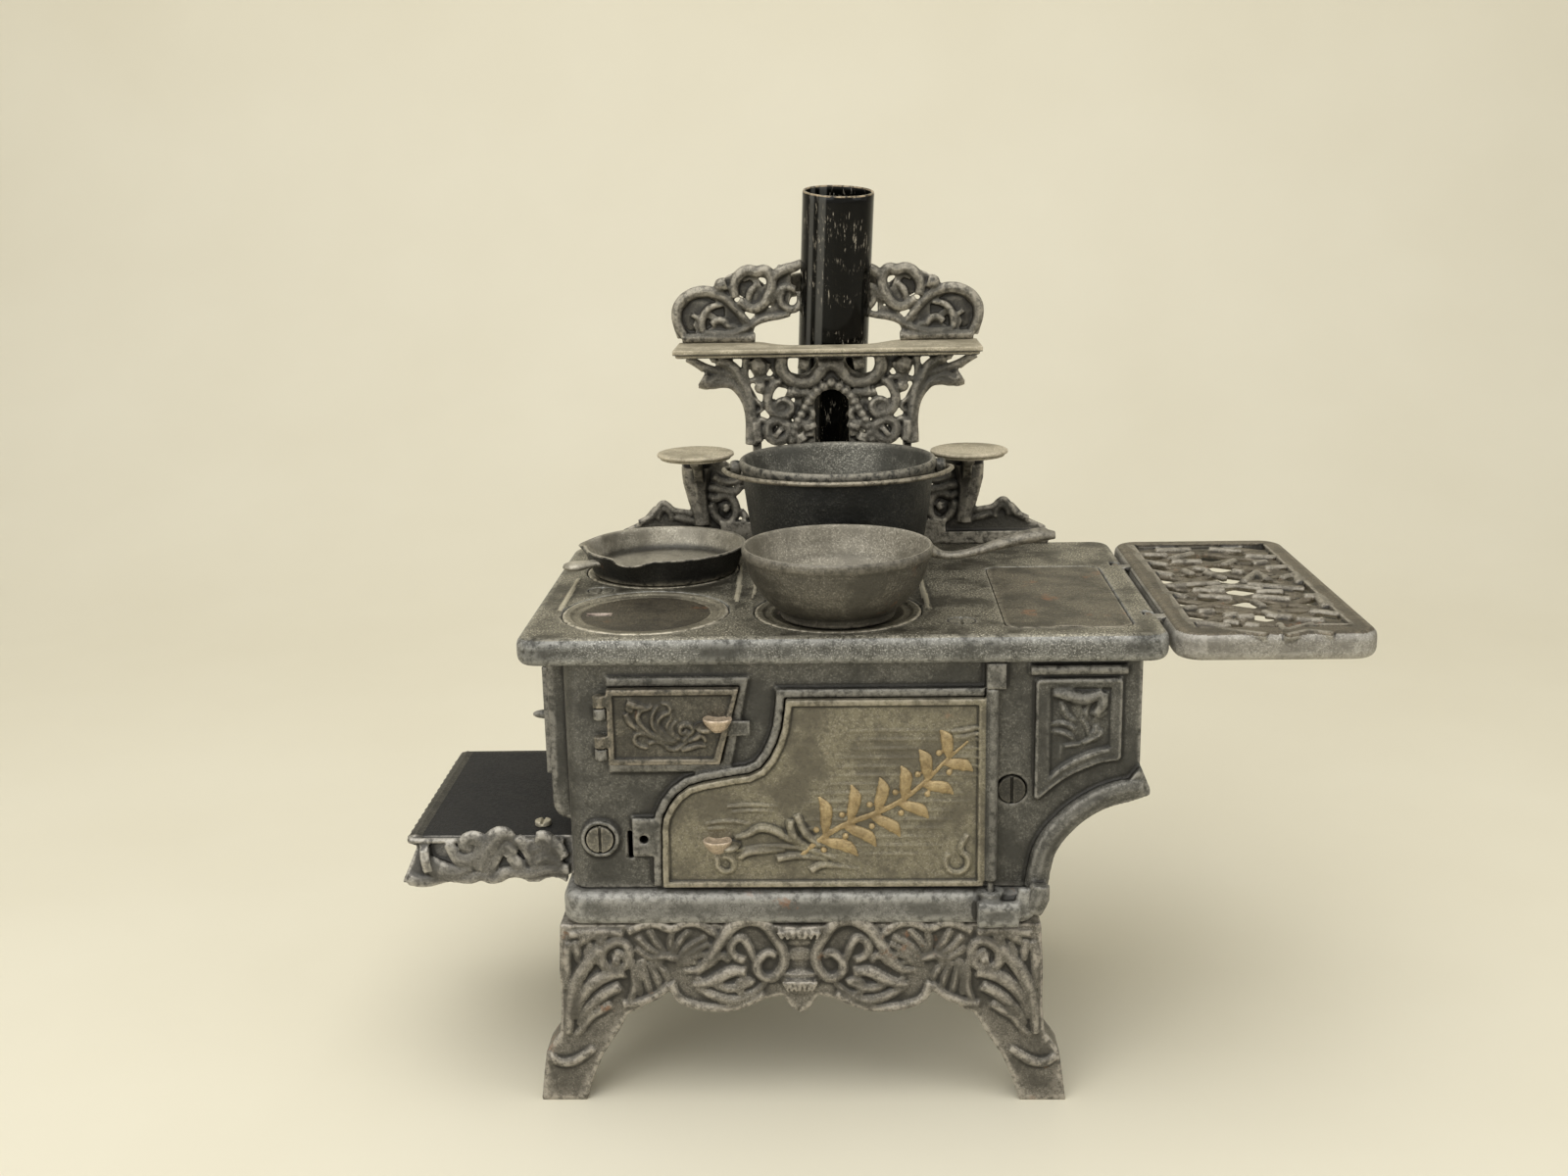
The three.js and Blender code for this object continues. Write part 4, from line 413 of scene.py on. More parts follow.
KNEE = [
    ([(-83.1, 53.4), (-83.3, 57.4), (-85.7, 60), (-88.9, 59.6), (-91.9, 57.4), (-92.8, 54.8), (-91.7, 51.7),
      (-89.3, 50.3), (-86.5, 50.5), (-84.4, 51.6), (-84.1, 53.4), (-85.5, 55.2), (-87.9, 56.1)],
      [0.8, 1.2, 1.4, 1.2, 1, 0.9]),
    ([(-88.8, 53.4), (-86.4, 53.2)], [1.3, 1.3]),
    ([(-92.6, 57.8), (-96.1, 53.9), (-99.6, 49), (-102.3, 43.2), (-103.8, 37), (-104.6, 30.7),
      (-105.2, 25.7)], [1.5, 1.6, 1.3, 0.7]),
    ([(-84.9, 49), (-89.8, 48.1), (-94.8, 45.5), (-98.7, 41.4), (-101.4, 36.5), (-102.7, 31.6)],
      [1.3, 1.7, 1.3, 0.7]),
    ([(-86.8, 43.7), (-91.8, 41), (-96, 37.4), (-99.5, 33.4), (-101.3, 29.3)], [1.2, 1.4, 1, 0.6]),
    ([(-90.3, 37), (-93.7, 34.7), (-97.5, 32), (-100.6, 27.5), (-102.8, 24.8)], [0.9, 1.1, 0.8, 0.5]),
    ([(-101.1, 60.1), (-100.8, 56.5), (-100.6, 53)], [0.7, 0.9, 0.5]),
    ([(-95.8, 59.6), (-97.2, 56.1), (-98.6, 53)], [0.7, 0.9, 0.5]),
    ([(-103.5, 59.6), (-104.6, 54.8), (-104.5, 49), (-105.2, 43.2)], [0.8, 1, 0.8, 0.5]),
    ([(-94, 62.7), (-97.8, 61.4), (-99.5, 59.2)], [0.9, 1.1, 0.6]),
    ([(-90.8, 63.1), (-92.5, 60.5), (-95.1, 56.5)], [0.9, 1.1, 0.6]),
    ([(-103, 62.7), (-96.9, 63.4), (-90.8, 63.6), (-85.1, 63.1)], [0.8, 1, 0.8]),
    ([(-112.1, 17.1), (-108.6, 14.8), (-104.1, 15.2), (-100.2, 17.5), (-96.8, 20)], [0.9, 1.1, 0.8]),
]
leg_middle = -24.9
leg_face = -84
rear_shift = -37  # of the front frame's mirror image, to the rear frame's place
urn = spun(
    [(0, 33.6), (1.6, 33.8), (3.4, 36), (3.6, 37.2), (2.2, 38.6), (2.6, 40), (4.6, 41), (6, 42), (8, 46.2),
     (7.6, 47.2), (7.9, 48.4), (5, 49.2), (3.4, 50.4), (3.2, 52.6), (5.2, 53.8), (5.2, 56.8), (3.6, 57.8),
     (3.8, 58.8), (5.8, 59.4), (5.4, 60.6), (7.4, 61.6), (9.4, 64.6), (10.2, 65.2), (10.2, 66.2), (0, 66.2)],
    (leg_middle, leg_face + 1.2, 0), 48, 0.36,
)
flutes = ridges(
    [([(leg_middle + 1.9 * k, 61.9), (leg_middle + 2.35 * k, 64.8)], [0.5, 0.8]) for k in range(-3, 4)]
    + [([(leg_middle + 1.3 * k, 42.4), (leg_middle + 1.9 * k, 46.4)], [0.4, 0.8]) for k in range(-3, 4)],
    leg_face - 2.6,
)
carving = [
    ridges(APRON, leg_face, 0.72, leg_middle, swell=1.7), ridges(KNEE, leg_face, 0.7, leg_middle, swell=1.7),
    urn, flutes,
]
front_legs = fused("front_legs", [nodes["front_leg_frame"].data, *carving], 0.55, 0.6)
rear_legs = front_legs.copy()
rear_legs.transform(Matrix.Translation((0, rear_shift * MM, 0)) @ Matrix.Diagonal((1, -1, 1, 1)))
rear_legs.flip_normals()
placed("front_legs", front_legs, leg_iron, "stove", "front_leg_frame")
placed("rear_legs", rear_legs, leg_iron, "stove", "rear_leg_frame")


# ---- Body castings
# Base moulding, front panel with its keeper and the reservoir's leaf panel, and the left end,
# cast iron plates that two bolts clamp together from front to back.

# The base is handled and wiped, so it is the greyer; the panels keep more of their polish.
base_iron = iron(
    "grey_base_cast_iron", "#494843 #75736d #b0aea6 #b6b4ac", rust=0.6, specks=0.35,
)
body_iron = iron("worn_black_cast_iron", "#32312c #54524b #9a978d #a6a298", specks=0.35)
# The base's lug below the oven door's hinge: a rounded block and an ear.
lug_ends, lug_heights, lug_face = (34.6, 48.4), (69.8, 71.7, 73.6), -88.3
ear = [(50.4, 81), (50.2, 76), (50.4, 70.8)]
lug = [
    ridges([([(x, z) for x in lug_ends], [2.9, 2.9]) for z in lug_heights], lug_face, 0.8),
    ridges([(ear, [2.4, 3.1, 3.4])], lug_face + 0.5, 0.6),
]
cast("base", "base_plate", 0.7, 0.4, base_iron, raised=lug)
RESERVOIR_LEAF = [
    ([(71.9, 130.5), (70.7, 134), (69, 137.5), (66.7, 140.5), (65.6, 143.4), (65, 145.7)],
      [0.6, 0.5, 0.4, 0.3]),
    ([(66.6, 133.8), (64.8, 135.7), (62.2, 136.7), (59, 136.5)], [0.3, 0.9, 0.9, 0.4]),
    ([(66.3, 130.4), (64.5, 132.5), (62, 133.5), (59.1, 133.8)], [0.3, 0.9, 0.8, 0.4]),
    ([(66.3, 137.6), (64, 139), (62.5, 141.7), (62, 143.8)], [0.4, 0.9, 0.9, 0.4]),
    ([(68.9, 139.9), (67.5, 142.5), (67.2, 145.1), (67.5, 147.2)], [0.4, 0.9, 0.9, 0.4]),
    ([(70.6, 138.1), (69.8, 140.4), (70.8, 143), (73.4, 146)], [0.4, 0.8, 0.7, 0.3]),
    ([(72.6, 137.5), (74.2, 139), (76.2, 140.4)], [0.5, 0.8, 0.4]),
    ([(69.2, 129.8), (71.4, 131), (73.5, 132), (74.7, 133.4), (73.7, 134.7)], [0.7, 1, 0.9, 0.5]),
    ([(63.2, 128.7), (65.4, 129.1), (68.4, 129.4)], [0.5, 0.7, 0.5]),
    ([(62, 129.1), (61.9, 126.2), (61.5, 124.2)], [0.4, 0.4, 0.3]),
    ([(70.8, 132), (72.7, 133.7), (73.4, 135.8)], [0.5, 0.9, 0.6]),
]
RESERVOIR_FRAME = [
    ([(54.2, 110.8), (54.2, 120), (54.2, 135), (54.2, 151)], [0.8, 0.8]),
    ([(54.2, 151), (67, 151), (80.8, 151)], [0.8, 0.8]),
    ([(80.8, 151), (80.8, 138), (80.8, 124.6)], [0.8, 0.8]),
    ([(80.8, 124.4), (76.5, 124), (70.4, 121.9), (62.4, 117.8), (54.2, 110.8)], [0.8, 0.8]),
    ([(51.6, 155), (67, 155), (83, 155)], [1.7, 1.7]),
    ([(57.8, 116.6), (62, 120.6), (67.4, 123.9), (73, 126.2), (77.4, 127.4)], [0.8, 1.1, 1.2, 0.9]),
    ([(59, 147.2), (63.5, 146.6), (69, 145.2), (75, 147)], [1.2, 2.2, 2.4, 1.6]),
    ([(75.2, 147.2), (74.8, 143), (72.4, 139.4)], [1.8, 2, 1.2]),
]
LIP = [(89, 114.6), (80.5, 113), (71.4, 108.5), (63.4, 101.7), (57.8, 94), (55.6, 86), (54.6, 79)]
lip_foot = [(55.4, 82), (54.8, 77), (53, 72.2)]
panel_face = -83
details = [
    ridges(RESERVOIR_LEAF, panel_face + 0.5, 1.2),
    ridges(RESERVOIR_FRAME, panel_face, 0.8),
    ridges([(LIP, [3.2, 3.9, 4, 4, 4])], panel_face, 0.62),
    ridges([(lip_foot, [3.4, 3.9, 3.4])], panel_face - 4.4, 0.8),
]
cast("front", "front_panel", 0.5, 0.45, body_iron, raised=details)
cast("left_end", "left_end_panel", 0.7, 0.4, body_iron)


# ---- Doors
# Cast plates with bright beaded borders, turning on pins: curled leaves on the fire door,
# a sprig and engraved lines on the oven door.
def toned(piece, choose):
    """Picks the material of each face from its middle, in millimetres, and its normal."""
    for face in piece.data.polygons:
        face.material_index = int(choose(face.center / MM, face.normal))


# Heat and fingers have taken the polish off the doors: brown on the oven's, sootier by the fire.
fire_iron = iron(
    "dark_worn_door_iron", "#302d26 #524e43 #9d9583 #ada28e", rust=0.3, specks=0.3, rub=0.55,
)
door_iron = iron(
    "brown_worn_door_iron", "#504b40 #79735f #b4ac9a #b9b09c", rust=0.3, specks=0.35,
)
FIRE_LEAF = [
    ([(-64.4, 132), (-68.1, 132.4), (-72, 134.2), (-75.1, 137), (-76.7, 139.7), (-75.9, 142.5),
      (-72.9, 143.5), (-71.9, 144.5)], [0.6, 0.7, 0.8, 0.8, 0.5]),
    ([(-65.4, 132.4), (-68.7, 133.8), (-71.5, 136.9), (-72.1, 140), (-71, 142.8), (-69.9, 144.3)],
      [0.5, 0.7, 0.8, 0.6, 0.4]),
    ([(-66.1, 132.7), (-68.9, 135.5), (-70.2, 138.3), (-68.4, 141), (-66.1, 142.4), (-66.6, 144.5),
      (-68.6, 145)], [0.5, 0.7, 0.7, 0.6, 0.4]),
    ([(-63.8, 132.4), (-66, 134.5), (-67.2, 136.9), (-65.8, 140), (-65.3, 141.4)], [0.5, 0.6, 0.5, 0.3]),
    ([(-63.1, 132.7), (-65.3, 134.8), (-65.6, 136.9), (-63.9, 138.9)], [0.5, 0.6, 0.3]),
    ([(-62.1, 132), (-60.1, 134.1), (-58.7, 136.1), (-60, 137.5), (-62.1, 137.4), (-63, 135.8), (-62, 134.6),
      (-60.5, 135.5)], [0.5, 0.7, 0.8, 0.7, 0.5]),
    ([(-65.5, 131.2), (-68.7, 131.9), (-72, 133.6), (-75.2, 134.8), (-77.7, 134.2), (-78, 132.1),
      (-76.4, 130.5), (-73.9, 129.8)], [0.5, 0.6, 0.7, 0.7, 0.5]),
    ([(-73.4, 131.2), (-70.7, 131.9), (-68.1, 130.8), (-66.7, 129.4), (-64.5, 129.1), (-62.5, 130.4),
      (-60.5, 132)], [0.5, 0.6, 0.7, 0.6, 0.5]),
    ([(-80.6, 141.8), (-79.7, 139.1), (-77.8, 137), (-75.2, 135.4), (-72.3, 134)], [0.9, 0.9, 0.6, 0.4]),
    ([(-80.1, 145.6), (-78.1, 144.7), (-75.5, 144), (-72.9, 143.3)], [1, 1.2, 0.9, 0.5]),
    ([(-79.1, 145.3), (-79.8, 143.2), (-78.2, 142.5)], [0.9, 0.8, 0.6]),
    ([(-62.6, 128.9), (-60.2, 129.6), (-57.2, 130.4), (-54.6, 130.4)], [0.7, 0.9, 0.5]),
    ([(-60.2, 132), (-57.5, 133.2), (-56, 134), (-54.5, 131.9)], [0.6, 0.9, 0.6]),
]
OVEN_SPRIG = [
    ([(-21.7, 94.6), (-27.4, 97.2), (-33.1, 100.6), (-37.7, 101.2), (-41.7, 99), (-45.7, 97.8)],
      [0.4, 1, 1.3, 0.9, 0.5]),
    ([(-45.5, 93.4), (-37.5, 94.7), (-28.9, 94.6), (-20.3, 93.3), (-12.4, 90.3)], [0.4, 0.5, 0.5, 0.6]),
    ([(-44.8, 90.5), (-41.9, 92.6), (-36.1, 93.1), (-29.6, 93.5)], [0.8, 1.1, 0.8, 0.4]),
    ([(-52.1, 90.9), (-51.6, 87.2), (-48.6, 85.7), (-46.5, 87.5), (-47.7, 90.5), (-50, 91.1)],
      [0.6, 0.7, 0.5]),
    ([(-31.8, 90.2), (-27.5, 91.2), (-21.7, 91), (-15.3, 89.9)], [0.9, 1, 0.6, 0.3]),
    ([(-20.7, 86.1), (-17.4, 87.9), (-12.4, 87.6), (-5.2, 86.5)], [1, 0.9, 0.5, 0.3]),
    ([(31.4, 98.5), (29.4, 93.2), (31.6, 90.1), (30.7, 86.2), (26.6, 85.3), (24.3, 88.4), (25.1, 91.8)],
      [0.6, 0.8, 0.7, 0.6]),
    ([(26.2, 134.6), (30.4, 135.1), (35.3, 136.2)], [0.5, 0.7, 0.4]),
    ([(27.2, 132.7), (31.1, 133.1), (36, 134.3)], [0.5, 0.7, 0.4]),
    ([(-27.3, 103.9), (-26.5, 98.9), (-22, 94.6)], [0.9, 1.3, 0.5]),
    ([(-25.1, 105.8), (-22.3, 99.6), (-17.4, 95)], [0.9, 1.2, 0.6]),
    ([(-48, 109), (-40.1, 109.5), (-31.5, 108.9)], [0.4, 0.5, 0.3]),
    ([(-46.6, 107), (-39.4, 107.5), (-32.9, 107.2)], [0.3, 0.4, 0.3]),
    ([(-55.3, 102.9), (-48.1, 103.8), (-40.9, 102.8)], [0.3, 0.5, 0.3]),
    ([(-54.7, 101), (-49.6, 101.3)], [0.3, 0.3]),
]
door_face = -84.4
latch_x, latch_low, latch_high = -47, 132, 141
hinge_strip = 37.2
fire = cast(
    "firing_door", "fire_door", 0.32, 0.5, (fire_iron, body_iron), "fire_door",
    [ridges(FIRE_LEAF, door_face, swell=1.25)],
)
toned(fire, lambda at, facing: at.x > latch_x and latch_low < at.z < latch_high)
engraved = []
for row in range(15):
    z = 91.5 + 3.1 * row
    for start, end in ((-31 + 1.9 * row, -12 + 2.6 * row), (-6 + 2.7 * row, 22 + 1.3 * row)):
        left = max(start + random.uniform(-4, 4), -34 + 0.8 * row)
        right = min(end + random.uniform(-4, 4), 36.5)
        if right - left > 4:
            engraved.append(([(left, z), ((left + right) / 2, z + 0.3), (right, z)], [0.25, 0.45, 0.25]))
oven = cast(
    "baking_door", "oven_door", 0.42, 0.55, (door_iron, body_iron), "oven_door",
    [ridges(OVEN_SPRIG, door_face, swell=1.3), ridges(engraved, door_face, 0.9)],
)
toned(oven, lambda at, facing: at.x > hinge_strip)
cast("side_door", "end_door", 0.45, 0.5, body_iron, "end_door")


# ---- Cooktop
# The grey, most handled casting: a rounded rim, seats for four lids and the cover. It lies on
# the body under two slotted screws.

# A speckled grey rim, thin ribs rubbed pale, and a top that heat has turned brown.
top_iron = iron("grey_speckled_cast_iron", "#302f2a #62615b #c0beb6 #a9a8a1", specks=0.7)
rib_iron = iron("bright_rib_iron", "#8a8370 #b3ab94 #cdc6b0 #c9c2ad", specks=0.4)
plate_iron = iron(
    "tan_speckled_cast_iron", "#26231b #5a5648 #d0c9b4 #a19c8c", rust=0.4, specks=1.0,
)
ribs = [
    ([(-106, -52), (-106.3, -30), (-106.6, -6)], [0.9, 0.8, 0.6]),
    ([(-45.9, -42), (-46.6, -14), (-47.6, 12)], [0.6, 0.8, 0.6]),
    ([(-40.8, -38), (-40.5, -24), (-40.4, -8)], [0.4, 0.5, 0.3]),
    ([(19.8, -53), (19.4, -28), (18.9, -3)], [0.8, 0.8, 0.5]),
]
rib_middles, rib_front, rib_back = (-106.3, -46.6, -40.5, 19.4), -53, 13
rib_level, rib_foot, rim_top = 168.25, 168.3, 164
top = cast(
    "top", "cooktop", 0.6, 0.45, (top_iron, rib_iron, plate_iron),
    raised=[ridges(ribs, rib_level, 0.6, across="XY")],
)


def top_tone(at, facing):
    if at.z > rib_foot and rib_front < at.y < rib_back and min(abs(at.x - x) for x in rib_middles) < 1.1:
        return 1
    return 2 if facing.z > 0.8 and at.z > rim_top else 0


toned(top, top_tone)


# ---- Side shelf
# Cast frame hooked to the cooktop, filled with a web of flat crossing sticks whose tops
# are worn bright.

# Brown in the web's depth, grey on the rim, and rubbed along the tops of the sticks.
side_iron = iron(
    "brown_shelf_iron", "#332f26 #554d3f #8f8673 #8f8572", rust=0.8, rub=0.4,
)
rim_iron = iron("bright_rim_iron", "#66625a #8f8b81 #ccc8be #b9b5ab", specks=0.5)
stick_iron = iron(
    "rubbed_stick_iron", "#4a453b #7b7568 #b4ad9e #aea798", rust=0.3, specks=0.4,
)
STICKS = [
    [(112.1, 33.4), (125.9, 34.3)], [(132.9, 34.6), (144.6, 30.8)], [(104.6, 26), (115.2, 25.4)],
    [(115.1, 19.3), (125.3, 28)], [(144.1, 22.5), (154.3, 19.9)], [(104.5, 15.3), (112.1, 9)],
    [(114.9, 14.8), (126, 14.3)], [(132.7, 8.1), (138.5, 15.8)], [(144, 10.5), (150, 13.2)],
    [(146.9, 3.1), (154.5, 4.2)], [(104.4, -0.7), (111.2, -6.7)], [(116.3, 1), (118.6, -5.6)],
    [(120.9, 4.3), (125.6, -0.3)], [(123.7, -3), (128.8, -13)], [(134.1, -0.7), (137.4, -3.6)],
    [(134.3, -17.3), (142, -3.8)], [(142, -3.8), (143.9, -15)], [(149, -12.5), (155.5, -7.3)],
    [(155.5, -7.3), (153.6, -19.5)], [(105.6, -22.8), (125.5, -19.1)], [(118.7, -27.3), (129.6, -23.8)],
    [(129.6, -23.8), (138.8, -28.1)], [(134.7, -21.4), (152.9, -29.5)], [(113.9, -28.9), (125.1, -30.2)],
    [(135.4, -31.9), (144.6, -32.8)], [(104.3, -33.2), (110.2, -38.5)], [(114.1, -37.4), (125.3, -40.4)],
    [(132.6, -38.2), (144.5, -42.9)], [(150.2, -38.9), (154.8, -39.1)], [(154.8, -39.1), (153.5, -52.6)],
    [(104.3, -54.3), (110.5, -52.1)], [(109.9, -58), (115.6, -57.1)], [(117.3, -63), (122.3, -62)],
    [(121.5, -65.5), (127.1, -64.5)], [(130.9, -63.5), (139.2, -66.1)], [(147.2, -58.3), (154.8, -63.3)],
    [(104.1, -69.4), (116.4, -77.7)], [(115.6, -71), (120.3, -73.4)], [(121.8, -74.6), (125.9, -76.9)],
    [(132.8, -75), (132.1, -83.7)], [(133.2, -82.7), (143.2, -75.3)], [(139.8, -68.5), (148.5, -71.1)],
    [(144.4, -77.6), (154.1, -78)], [(113.2, -82), (125.6, -87.8)], [(131.6, -89.1), (139.8, -84)],
    [(139.8, -84), (146.8, -87.5)], [(131.2, -44.4), (133.1, -51.8)], [(131.4, -58.9), (134.5, -66)],
]
stick_level, stick_side, stick_top = 167.2, 167.3, 168.08
web_left, web_right, web_front, web_back = 103, 156.5, -78, 39
sticks = ridges([(ends, [1.5, 1.5]) for ends in STICKS], stick_level, 0.8, across="XY")
lattice = cast(
    "lattice_shelf", "side_shelf", 0.52, 0.5, (side_iron, rim_iron, stick_iron), "side_shelf", [sticks],
)


def shelf_tone(at, facing):
    between = web_left < at.x < web_right
    inside = between and web_front < at.y < web_back
    if between and at.z > stick_top or inside and at.z > stick_side:
        return 2
    return 0 if inside or at.z > stick_side else 1


toned(lattice, shelf_tone)


# ---- Hearth
# Small shelf below the fire door, one casting with leaves on its drooping front edge and a
# roped border. Two lugs and a slotted screw hold it.

# Dead black from ash on the tray, the rope dusted with it, the leaves rubbed grey.
hearth_iron = iron(
    "sooty_cast_iron", "#0a0a09 #131211 #4a453b #4a463f", specks=0.3, rough=0.85, metal=0.0,
)
rope_iron = iron(
    "ashy_hearth_rope", "#22211d #3d3b35 #7f7a70 #7d786d", specks=0.4, rough=0.6,
)
edge_iron = iron(
    "rubbed_hearth_edge", "#403e3a #69665f #a5a096 #b9b4a9", rust=0.3, specks=0.3, rub=0.8,
)
HEARTH_EDGE = [
    ([(-146.1, 90.3), (-144.5, 87.6), (-142.7, 84.9), (-138, 84.6), (-134.7, 87.1), (-134.3, 90.3),
      (-136.3, 92.2), (-139.3, 91.8), (-140.4, 89.7), (-138.9, 88.6), (-137.3, 89.7)],
      [0.9, 1.3, 1.6, 1.4, 1.1, 0.8]),
    ([(-135.1, 80.8), (-133.9, 85.9), (-131.6, 90), (-127.6, 93.6), (-125.1, 93.6), (-123.2, 91.3)],
      [1.3, 1.8, 1.8, 1.3, 0.8]),
    ([(-132.8, 78.7), (-131, 83.3), (-128.8, 87.1), (-127.1, 89.2)], [1, 1.3, 0.8]),
    ([(-127.6, 87.9), (-125.5, 89.6), (-124.2, 87.5), (-126.1, 85.4)], [1.1, 1.3, 1]),
    ([(-122.2, 92.1), (-119.6, 90), (-117.8, 86.2), (-116.5, 81.6)], [1.1, 1.3, 1.1, 0.8]),
    ([(-118.3, 91.2), (-117, 88.1), (-114.3, 89.1), (-114.8, 91.8)], [0.9, 1.2, 0.8]),
    ([(-115.5, 92.5), (-112, 92.2), (-110.6, 89.1), (-112.3, 86.4), (-115.5, 85.8)], [1.1, 1.5, 1.3, 0.8]),
    ([(-116.1, 81.4), (-114.2, 84.7), (-110.8, 85.1), (-107.1, 81.5)], [0.9, 1.3, 1.3, 0.9]),
    ([(-111.2, 92.4), (-108.7, 89.1), (-105.7, 84.9)], [1.1, 1.4, 1.1]),
    ([(-124.5, 85.8), (-122.4, 82.9), (-119.7, 80.3)], [1.1, 1.3, 0.8]),
    ([(-153.1, 83), (-148.9, 80.5), (-142.2, 80), (-136.9, 82.9)], [1.6, 1.8, 1.3, 0.8]),
    ([(-155.4, 84.3), (-152.2, 84.7)], [2.6, 2.6]),
    ([(-160.6, 77.1), (-155.2, 76.3), (-146.3, 78.3), (-139.2, 77.5), (-135.2, 78.7), (-131.3, 77.4),
      (-126.1, 79.7), (-117.4, 79.5), (-111.4, 80.9), (-104.4, 80.7)], [1.1, 1.1]),
]
rope = [
    ([(-160.6, y - 3), (-158.3, y), (-155.2, y + 3)], [0.9, 1.3, 0.9]) for y in range(-63, 17, 5)
]
rope += [
    ([(-158, 19.6), (-130, 19.8), (-105, 19.6)], [1.3, 1.3]),
    ([(-159.6, -68.8), (-152, -69.2), (-140, -69), (-126, -69.2), (-106, -69)], [1.4, 1.2, 1.3]),
]
lip = [([(-158, -68), (-158, -24), (-158, 19)], [3.1, 3.1])]
rope_front, rope_left, rope_back = -66.8, -155.6, 18.6
leaf_face, rope_level, lip_level = -70.1, 91.1, 90.7
hearth = cast(
    "hearth", "hearth_shelf", 0.5, 0.55, (hearth_iron, edge_iron, rope_iron),
    raised=[ridges(HEARTH_EDGE, leaf_face, 0.5, swell=2.1), ridges(rope, rope_level, 0.75, across="XY"),
            ridges(lip, lip_level, 0.6, across="XY")],
)
toned(hearth, lambda at, facing: 1 if at.y < rope_front else 2 * (at.x < rope_left or at.y > rope_back))


# ---- Back guard, high shelf and crest
# Openwork castings: a beaded arch over the pipe hole between scrolls, fluted columns that
# carry the trivets, and a crest of scrolls round the pipe above the shelf.

# Out of reach, so dust lies on the black polish of the scrolls and turns the shelves tan.
guard_iron = iron(
    "dusty_dark_cast_iron", "#3a3831 #5f5b51 #9a9486 #b0a999", specks=0.35, rub=0.75,
)
# The shelves' hollows are darkened to a dark tan: painted shade.
shelf_iron = iron(
    "dusty_tan_cast_iron", "#7b735e #ada38a #d8ccb2 #cdc1a6",
    painted_hollow_shade="#3f3a2e", specks=0.8, rough=0.62, metal=0.1,
)


def beads(points, radius, flat=1.0):
    bm = bmesh.new()
    for point in points:
        made = bmesh.ops.create_icosphere(bm, subdivisions=2, radius=radius * MM)["verts"]
        bmesh.ops.scale(bm, vec=(1, flat, 1), verts=made)
        bmesh.ops.translate(bm, vec=Vector(point) * MM, verts=made)
    mesh = bpy.data.meshes.new("beads")
    bm.to_mesh(mesh)
    bm.free()
    return mesh


GUARD_SCROLLS = [
    ([(-44.8, 210.9), (-44.6, 219.2), (-45.8, 225.1), (-48.1, 229.3), (-50.9, 232.6), (-54.2, 234.5),
      (-57.9, 234.6), (-60.8, 233.5), (-62.9, 234.5)], [1.5, 1.5, 1.4, 1.3, 1.3, 2.2, 2.9]),
    ([(-68.9, 242.4), (-66.6, 241.4), (-63.9, 239.4), (-62.4, 237.8)], [0.8, 0.9, 0.8, 0.6]),
    ([(-59.2, 242.2), (-55.3, 240.8), (-52.4, 236.5), (-49.7, 233)], [0.8, 0.9, 1, 0.9]),
    ([(-45.6, 242.6), (-46.1, 238), (-45.8, 233.7), (-44.4, 228.6), (-42.9, 223.1)], [1.2, 1.1, 1.1, 0.9]),
    ([(-32.4, 242.8), (-33.1, 238.9), (-31.4, 235.4), (-27.9, 232.9), (-23.3, 232), (-19, 233.7),
      (-15.9, 236.8), (-14.7, 239.1), (-11.9, 239.7), (-7.7, 239.8)], [1.2, 1.25, 1.25, 1.2, 1.2]),
    ([(-43.3, 240.6), (-42.2, 237.1), (-40.3, 236), (-38.3, 237.5), (-37.1, 240.6)], [0.9, 1, 0.9]),
    ([(-44.3, 233.7), (-40.3, 234.4), (-34.9, 234.7)], [0.9, 1, 0.8]),
    ([(-42, 231.7), (-40, 232.1)], [1.5, 1.5]),
    ([(-32.2, 233.5), (-34.7, 233.3), (-36.5, 231.2), (-37.7, 227.7), (-37.3, 223.8), (-35.2, 220.9),
      (-32.1, 219.6), (-29.1, 221), (-28.4, 223.5), (-30, 225.7), (-32.5, 225.9), (-34.1, 224.2),
      (-33, 222.4), (-31, 222.8)], [0.9, 1.3, 1.3, 1.2, 1.1, 0.9]),
    ([(-29.9, 229.6), (-28, 228.6), (-24.9, 229), (-22.2, 228.7)], [1.5, 1.4, 1, 0.8]),
    ([(-23.5, 221.3), (-21.3, 222.2), (-20.2, 220.4), (-21.2, 218.1)], [0.9, 1.2, 0.8]),
    ([(-26.8, 211.1), (-27.1, 213.9), (-24.7, 216.2), (-22.4, 216.9), (-20.8, 215), (-21.3, 211.8)],
      [1, 1.2, 1.2, 1]),
    ([(-42.8, 212.1), (-43.4, 214.9), (-42.3, 217.2), (-39.9, 218.3), (-38, 217.2)], [1.1, 1.3, 1.3, 1]),
    ([(-38.9, 213.2), (-37.6, 216.6), (-34.5, 218.1), (-31.4, 216.7), (-29.8, 213.9), (-30.3, 210.7)],
      [1.1, 1.4, 1.4, 1.1]),
    ([(-34.5, 214), (-33, 212.8)], [2.2, 2.2]),
    ([(-44.4, 228.6), (-42.1, 226.2), (-39.8, 223.1), (-42.2, 220.8)], [0.6, 0.8, 0.6]),
]
